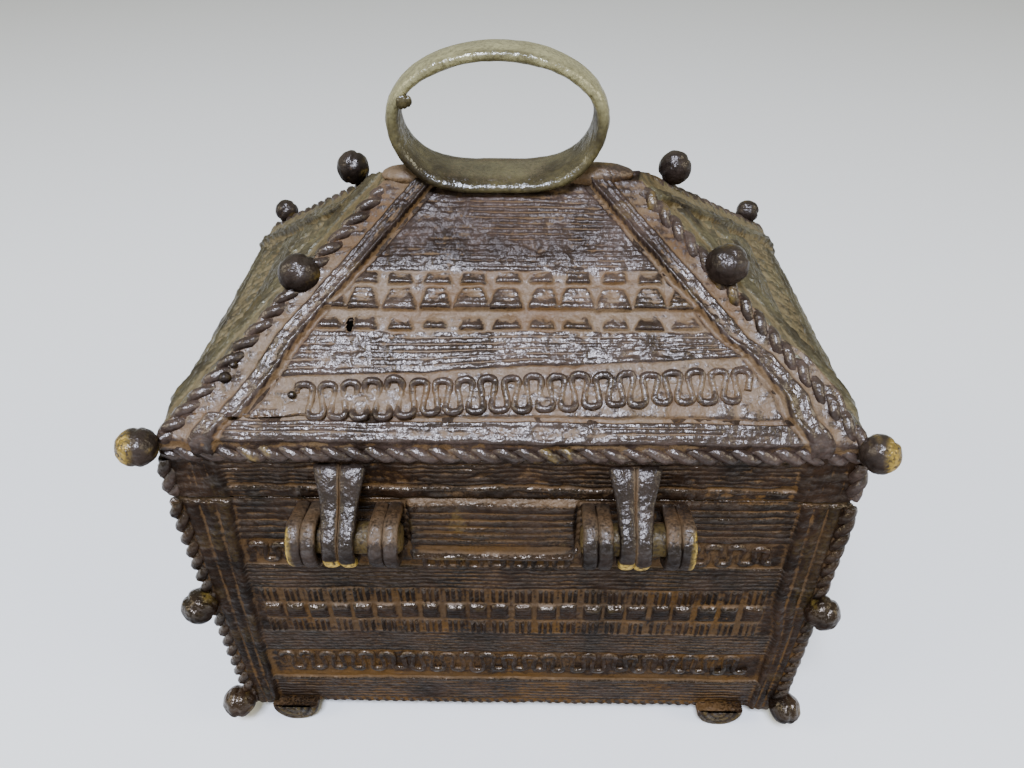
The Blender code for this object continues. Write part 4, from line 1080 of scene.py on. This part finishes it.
# %% Balls, beads and lumps in their places
def hip_place(sign_x, sign_y, along, stand):
    """A point along one of the four hips, standing off it."""
    low = np.array((sign_x * HALF_LONG, sign_y * HALF_SHORT, EAVE))
    high = np.array((sign_x * (HALF_LONG - HALF_SHORT), 0.0, EAVE + ROOF_RISE))
    direction = (high - low) / np.linalg.norm(high - low)
    upwards = np.array((0, 0, 1.0)) - direction * direction[2]
    return low + direction * along + upwards / np.linalg.norm(upwards) * stand


box_items, lid_items = [], []
rng = np.random.default_rng(40)
for k, (x, y) in enumerate(CORNERS):
    for height, size in ((4.4, 4.4), (49.0, 4.4)):
        center = (x * (HALF_LONG + 3.3) - 1.2 * (x > 0), y * (HALF_SHORT + 3.3), WALL_FOOT + height)
        scale = size * rng.uniform(0.95, 1.05, 3)
        box_items.append(dict(center=center, scale=scale, seam_turn=rng.uniform(0, 3), seam_depth=0.11,
                              seed=200 + len(box_items)))
    center = (x * (HALF_LONG + 3.0) - 1.6 * (x > 0), y * (HALF_SHORT + 3.0), EAVE - 0.4 - 0.5 * (x > 0))
    if y < 0:
        lid_items.append(dict(center=center, scale=4.3 * rng.uniform(0.95, 1.05, 3), seam_turn=1.2 + x,
                              seam_depth=0.09, seed=220 + k, rub_toward=(x * 0.9, -0.5, 0.35)))
        along, stand = (46.0, 0.3) if x < 0 else (47.3, 2.6)
        lid_items.append(dict(center=hip_place(x, y, along, stand), scale=(4.7, 4.5, 4.5), seam_turn=0.8 + x,
                              seam_depth=0.09, seed=230 + k))
    else:
        lid_items.append(dict(center=hip_place(x, y, 61.0, 4.6), scale=(3.9, 3.9, 4.1), seam_turn=0.9 + x,
                              seam_depth=0.09, seed=240 + k))
        lid_items.append(dict(center=hip_place(x, y, 9.0, 4.8) - (x * 2.8, 0, 1.2), scale=(3.3, 3.3, 3.4),
                              seam_turn=0.4 + x, seam_depth=0.09, seed=250 + k))
ridge_items = []
for x, scale in ((RING_X + 21.5, (9.5, 3.6, 2.6)), (RING_X - 20.5, (6.5, 3.6, 2.0))):
    ridge_items.append(dict(center=(x, 0.2, EAVE + ROOF_RISE - 1.2), scale=scale, seam_turn=1.4,
                            seam_depth=0.03, seed=280 + int(abs(x)), clay=0.75))
for x, slope, size in ((-61.2, 12.7, 1.35), (-59.6, 15.6, 0.9), (-46.5, 9.0, 0.9)):
    lid_items.append(dict(center=on_roof(x, slope, 0.8), scale=(size, size, size * 0.9), seam_turn=0.5,
                          seam_depth=0.05, seed=270 + int(size * 10), segments=16, rings=10))
box_balls = lumps("box_balls", box_items, box_brass)
lid_balls = lumps("lid_balls", lid_items, hinge_brass)
ridge_lumps = lumps("ridge_lumps", ridge_items, roof_brass)

print("balls:", len(box_items), "on the box and", len(lid_items), "on the lid")

# %% A skin over rings, and the feet
def swept(name, rings, material, marks_of, closed_path=False):
    """Skin a list of closed rings of points. An open path gets flat ends."""
    rows, count = len(rings), len(rings[0])
    points = np.array(rings).reshape(-1, 3)
    faces = []
    for r in range(rows if closed_path else rows - 1):
        for i in range(count):
            j, n = (i + 1) % count, (r + 1) % rows
            faces.append([r * count + i, r * count + j, n * count + j, n * count + i])
    if not closed_path:
        faces.append(list(range(count))[::-1])
        faces.append([(rows - 1) * count + i for i in range(count)])
    piece = make_piece(name, points, faces, material, marks_of(points))
    bm = bmesh.new()
    bm.from_mesh(piece.data)
    bmesh.ops.recalc_face_normals(bm, faces=bm.faces)
    bm.to_mesh(piece.data)
    bm.free()
    return piece


def coil_foot(name, center_x, face_y, sign_y, seed):
    """A rolled coil lying along Y, cut flat above and below. A spiral groove runs in over its outer face."""
    rings, around, radius, center_z, cut = [], 48, 6.5, 6.0, WALL_FOOT + 1.5
    for depth, shrink in ((10.0, 1.0), (0.9, 1.0), (0.3, 0.95)):
        rings.append((depth, radius * shrink))
    rings += [(0.0, radius * share) for share in np.linspace(0.88, 0.04, 16)]
    made = []
    for depth, reach in rings:
        ring = []
        for k in range(around):
            a = 2 * math.pi * k / around
            spiral = 0.5 - 0.5 * math.cos(2 * math.pi * (reach / 2.1 + k / around))
            sink = 0.6 * (1 - spiral) ** 2 if depth == 0.0 else 0.0
            z = center_z + reach * math.sin(a) + 0.1 * float(hand(reach, k, 3.0, seed))
            y = face_y - sign_y * (depth + sink)
            ring.append((center_x + reach * math.cos(a), y, min(max(z, 0.0), cut)))
        made.append(ring)

    def marks(points):
        near = np.abs(points[:, 1] - face_y)
        return {"hollow": np.clip(0.2 + near * 0.5, 0, 0.7), "worn": (near < 0.12) * 0.1}
    return swept(name, made, box_brass, marks)


FOOT_PLACES = ((-63.0, -51.5), (59.5, -51.5), (61.0, 49.5), (-61.0, 49.5))
foot_parts = []
for k, (x, y) in enumerate(FOOT_PLACES):
    foot_parts.append(coil_foot(f"foot_{k}", x, y, math.copysign(1.0, y), 260 + k))
box_feet = join_pieces("box_feet", foot_parts)
print("feet:", len(foot_parts))

# %% [markdown]
# ## The ring handle
# The ring is one flattened wire bent to an oval and let into the ridge. Hands have kept it bare. Its top
# is painted pale, with little metal in it, partly as a painted reflection of the light above: it is the
# greenest and brightest part. A small nib of metal inside the left bend is a flaw of the pour, and
# it stays.

# %% Ring
def ring_rings(segments=180, around=20):
    """Sections of the ring, 13 mm wide at its foot and 9.5 mm at its top."""
    rings = []
    for i in range(segments):
        turn_at = 2 * math.pi * i / segments
        share = (1 + math.sin(turn_at)) / 2
        half_width = (13.0 + (9.5 - 13.0) * share) / 2
        uneven = float(hand(12 * math.cos(turn_at), 12 * math.sin(turn_at), 5.0, 91))
        ring = []
        for k in range(around):
            a = 2 * math.pi * k / around
            across = math.copysign(abs(math.cos(a)) ** 0.75, math.cos(a)) * half_width * (1 + 0.035 * uneven)
            crown = math.copysign(abs(math.sin(a)) ** 0.8, math.sin(a))
            depth = RING_THICK / 2 * (1 - crown * (1 + 0.05 * uneven))
            pit = 0.07 * float(hand(i * 0.9, k * 1.7, 2.0, 92))
            depth = depth + pit + 0.12 * float(hand(12 * math.cos(turn_at), across, 3.0, 93))
            low = max(0.0, -math.sin(turn_at))
            power = 1.0 - 0.3 * low
            reach_x = math.copysign(abs(math.cos(turn_at)) ** power, math.cos(turn_at))
            reach_z = math.copysign(abs(math.sin(turn_at)) ** power, math.sin(turn_at))
            ring.append((RING_X + (RING_HALF_X - depth) * reach_x, across,
                         RING_Z + (RING_HALF_Z - depth) * reach_z + 0.12 * low * across))
        rings.append(ring)
    return rings


def ring_marks(points):
    """Hands wear the top and outside; their pale is partly painted reflection. The inner side keeps its
    clay.
    """
    reach = np.hypot((points[:, 0] - RING_X) / RING_HALF_X, (points[:, 2] - RING_Z) / RING_HALF_Z)
    high = ease(points[:, 2], RING_Z - 6.0, RING_Z + 9.0)
    outer = ease(reach, 0.955, 0.985)
    inner = 1 - ease(reach, 0.83, 0.9)
    rim = ease(np.abs(points[:, 1]), 3.6, 4.6)
    patch = 0.7 + 0.5 * hand(points[:, 0], points[:, 2] + points[:, 1], 3.0, 94)
    streak = 0.75 + 0.3 * hand(points[:, 0] / 4, points[:, 1], 0.8, 95)
    worn = high * (0.85 * outer * streak + 0.5 * rim * patch * (1 - outer)) + 0.1 * inner * (1 - rim)
    return {"hollow": np.clip(0.3 - high * 0.3 + 0.3 * inner, 0, 1), "worn": np.clip(worn, 0, 1)}


lid_ring = swept("lid_ring", ring_rings(), ring_brass, ring_marks, closed_path=True)
nib_items = []
for x, scale, seam_turn, seed in ((-19.9, (1.5, 1.3, 1.7), 0.4, 300), (-18.6, (0.8, 0.8, 1.2), 1.0, 301)):
    nib_items.append(dict(center=(RING_X + x, -4.4, RING_Z + 4.6), scale=scale, seam_turn=seam_turn,
                          seam_depth=0.1, seed=seed))
ring_nib = lumps("ring_nib", nib_items, ring_brass)
print("ring:", len(lid_ring.data.polygons), "faces")

# %% [markdown]
# ## The two hinges
# Each of the box's four knuckles is two turns of thick wax wire, laid side by side round the place of
# the pin. The lid's straps are two wires each: they leave the fascia under a flared root, run down over
# the pin and curl behind it. The pins themselves are rough rods of cast brass. The metal is bright on
# the straps' curls and on the outermost knuckles, where it was rubbed.

# %% Hinge wires
def wire_path(name, path, half_width, half_thick, center_x, material, bright=(0, 0), bright_side=0,
              inner_side=0, dusty=0.0, seed=0):
    """A flattened wire that follows a path of (y, z) points in one plane, at one place along the box."""
    path = np.array(path)
    step = np.gradient(path, axis=0)
    step /= np.linalg.norm(step, axis=1)[:, None]
    outward = np.stack([step[:, 1], -step[:, 0]], -1)
    widths = np.broadcast_to(np.asarray(half_width, float), len(path))
    centers = np.broadcast_to(np.asarray(center_x, float), len(path))
    rings = []
    for i, (y, z) in enumerate(path):
        ring = []
        for k in range(16):
            a = 2 * math.pi * k / 16
            across = math.copysign(abs(math.cos(a)) ** 0.7, math.cos(a)) * widths[i]
            thick = math.copysign(abs(math.sin(a)) ** 0.7, math.sin(a)) * half_thick
            thick = thick + 0.12 * float(hand(i * 0.8, k * 1.1, 2.4, seed + 400))
            ring.append((centers[i] + across + 0.1 * float(hand(i, 3.0, 5.0, seed + 410)),
                         y + outward[i, 0] * thick, z + outward[i, 1] * thick))
        rings.append(ring)

    def marks(points):
        count = len(points)
        facing = np.tile(np.cos(2 * math.pi * np.arange(16) / 16), count // 16)
        along = np.repeat(np.arange(count // 16) / (count // 16), 16)
        scar = ease(along, bright[0], bright[0] + 0.03)
        scar = scar * (1 - ease(along, bright[1] - 0.03, bright[1] + 0.001))
        edge = ease(facing * bright_side, 0.25, 0.6) * ease(along, 0.04, 0.12) * (1 - ease(along, 0.75, 0.9))
        hollow = 0.05 + 0.4 * np.abs(facing) ** 6 + dusty * (1 - ease(along, 0.12, 0.3))
        hollow = np.clip(hollow + 0.7 * ease(facing * inner_side, 0.55, 0.85), 0, 1) * (1 - edge)
        worn = np.maximum(scar * (bright[1] > 0), edge * abs(bright_side))
        return {"hollow": hollow, "worn": worn}
    return swept(name, rings, material, marks)


def arc(start_degrees, end_degrees, radius, count):
    """Points round the hinge axis, as (y, z)."""
    angles = np.radians(np.linspace(start_degrees, end_degrees, count))
    y = HINGE_Y - MIDDLE_Y + radius * np.cos(angles)
    return list(zip(y, HINGE_Z + radius * np.sin(angles)))


# %% Knuckles and straps
# The straps' middle lies this far left of the hinge's.
STRAP_LEFT = 0.85
# The strap's root, as places across the box and depths under the eave.
STRAP_ROOT = ((-47.2, 8.6), (-48.6, 9.2), (-49.9, 10.4), (-51.4, 12.6), (-53.2, 15.0))
knuckle_parts, strap_parts = [], []
for h, hinge_middle in enumerate(HINGE_MIDDLES):
    for sign in (-1, 1):
        middle = hinge_middle + sign * 8.9
        for w, shift in enumerate((-1.6, 1.6)):
            turn_path = [(-47.0, HINGE_Z + 2.6), *arc(105, 300, 5.35, 44), (-49.3, HINGE_Z - 8.0),
                         (-47.0, HINGE_Z - 9.0)]
            seed = 500 + 20 * h + 5 * sign + w
            outermost = sign if (h, sign, w) in ((0, -1, 0), (1, 1, 1)) else 0
            knuckle_parts.append(wire_path(f"knuckle_{h}_{sign}_{w}", turn_path, 1.65, 1.2, middle + shift,
                                           hinge_brass, bright_side=outermost, dusty=0.6, seed=seed))
    strap_middle = hinge_middle - STRAP_LEFT
    for w, shift in enumerate((-1.75, 1.75)):
        drop = [(y, EAVE - below) for y, below in STRAP_ROOT]
        ends_at = 214 + 14 * w
        strap_path = drop + arc(118, ends_at, 5.4, 26) + arc(ends_at + 1, 318, 5.1, 24)
        flare = 1.78 + 1.2 * (1 - ease(np.arange(len(strap_path)), 0, 6))
        spread = 1.0 + 0.65 * (1 - ease(np.arange(len(strap_path)), 0, 6))
        strap_parts.append(wire_path(f"strap_{h}_{w}", strap_path, flare, 1.2, strap_middle + shift * spread,
                                     hinge_brass, bright=(0.4, 0.56), inner_side=-1 if w else 1,
                                     seed=600 + 10 * h + w))
box_knuckles = join_pieces("box_knuckles", knuckle_parts)
lid_straps = join_pieces("lid_straps", strap_parts)


# %% Pins
def pin_marks(points):
    """The same clay and wear all over."""
    return {"hollow": np.full(len(points), 0.5), "worn": np.full(len(points), 0.1)}


def rough_pin(name, middle):
    """A rough rod, thinner than the solid pin so that it clears the curl of the straps."""
    rings = []
    for i, x in enumerate(np.linspace(middle - 12.4, middle + 12.4, 60)):
        end_round = 1 - 0.35 * max(0.0, abs(x - middle) - 11.6)
        ring = []
        for k in range(24):
            a = 2 * math.pi * k / 24
            radius = (3.6 + 0.14 * float(hand(i * 0.7, k * 1.2, 2.2, int(abs(middle))))) * end_round
            ring.append((x, HINGE_Y - MIDDLE_Y + radius * math.cos(a), HINGE_Z + radius * math.sin(a)))
        rings.append(ring)
    return swept(name, rings, pin_brass, pin_marks)


pins = [rough_pin("pin_left", HINGE_MIDDLES[0]), rough_pin("pin_right", HINGE_MIDDLES[1])]
print("hinges:", len(box_knuckles.data.polygons), "and", len(lid_straps.data.polygons), "faces")

# %% [markdown]
# ## Handing the pieces to the frame
# What faces up on a piece is marked as polished, and what faces down is kept dull, which is painted
# shade. Each piece rides on the body that carries it when the lid opens, and stands for the imported
# node under it.

# %% Ride and replace
for piece in (box_shell, *walls, box_ropes, box_scrolls, box_balls, box_feet, box_knuckles):
    mark_polish_and_shade(piece)
    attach(piece, "box")
    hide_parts("casket_body")
for piece, node in zip(pins, ("hinge_pin_left", "hinge_pin_right")):
    mark_polish_and_shade(piece)
    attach(piece, "box")
    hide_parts(node)
for piece in (lid_shell, *lid_sides, lid_ropes, lid_scrolls, lid_balls, ridge_lumps, lid_ring, ring_nib,
              lid_straps):
    mark_polish_and_shade(piece)
    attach(piece, "lid")
    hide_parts("casket_lid")

# %% [markdown]
# ## Floor, light and camera
# A plain pale floor, one wide soft light above and in front like a window, two weaker ones from the
# left and the right, and a pale room. The camera stands where a person leans over the table, looking
# down at 38 degrees.

# %% Stage
floor_mesh = bpy.data.meshes.new("floor")
floor_mesh.from_pydata([(-3, -3, 0), (3, -3, 0), (3, 3, 0), (-3, 3, 0)], [], [(0, 1, 2, 3)])
floor = bpy.data.objects.new("floor", floor_mesh)
bpy.context.scene.collection.objects.link(floor)
pale = bpy.data.materials.new("pale_matt_floor")
pale.use_nodes = True
pale.node_tree.nodes["Principled BSDF"].inputs["Base Color"].default_value = colour("#fafafa")
pale.node_tree.nodes["Principled BSDF"].inputs["Roughness"].default_value = 0.8
floor_mesh.materials.append(pale)


# %% Lights
def area_light(name, place_at, aim_at, size, power, code):
    """A soft rectangular light, turned to what it aims at."""
    data = bpy.data.lights.new(name, "AREA")
    data.shape = "RECTANGLE"
    data.size, data.size_y = size
    data.energy = power
    data.color = colour(code)[:3]
    lamp = bpy.data.objects.new(name, data)
    lamp.location = place_at
    lamp.rotation_euler = (Vector(aim_at) - Vector(place_at)).to_track_quat("-Z", "Y").to_euler()
    bpy.context.scene.collection.objects.link(lamp)


area_light("window", (-0.1, -0.56, 1.06), (0, 0, 0.1), (0.36, 0.26), 25.0, "#dde7ff")
area_light("left_fill", (-0.9, -0.3, 0.7), (0, 0, 0.06), (0.5, 0.5), 4.5, "#f6efd4")
area_light("right_fill", (0.9, -0.3, 0.6), (0, 0, 0.06), (0.5, 0.5), 4.5, "#f6efd4")
world = bpy.data.worlds.new("pale_room")
world.use_nodes = True
world.node_tree.nodes["Background"].inputs["Color"].default_value = colour("#f0eed6")
world.node_tree.nodes["Background"].inputs["Strength"].default_value = 0.4
bpy.context.scene.world = world

# %% Camera
camera_data = bpy.data.cameras.new("photo_angle")
camera_data.lens, camera_data.sensor_width, camera_data.sensor_fit = 27.39, 36.0, "HORIZONTAL"
camera_data.clip_start = 0.01
camera = bpy.data.objects.new("photo_angle", camera_data)
right = Vector((0.99981, 0.01812, -0.00698))
upward = Vector((-0.0057, 0.61737, 0.78665))
forward = Vector((-0.01856, 0.78647, -0.61735))
turned_to = Matrix((right, upward, -forward)).transposed().to_4x4()
camera.matrix_world = Matrix.Translation((0.003453, -0.166618, 0.218405)) @ turned_to
bpy.context.scene.collection.objects.link(camera)
bpy.context.scene.camera = camera
print("camera at", [round(c, 3) for c in camera.location])
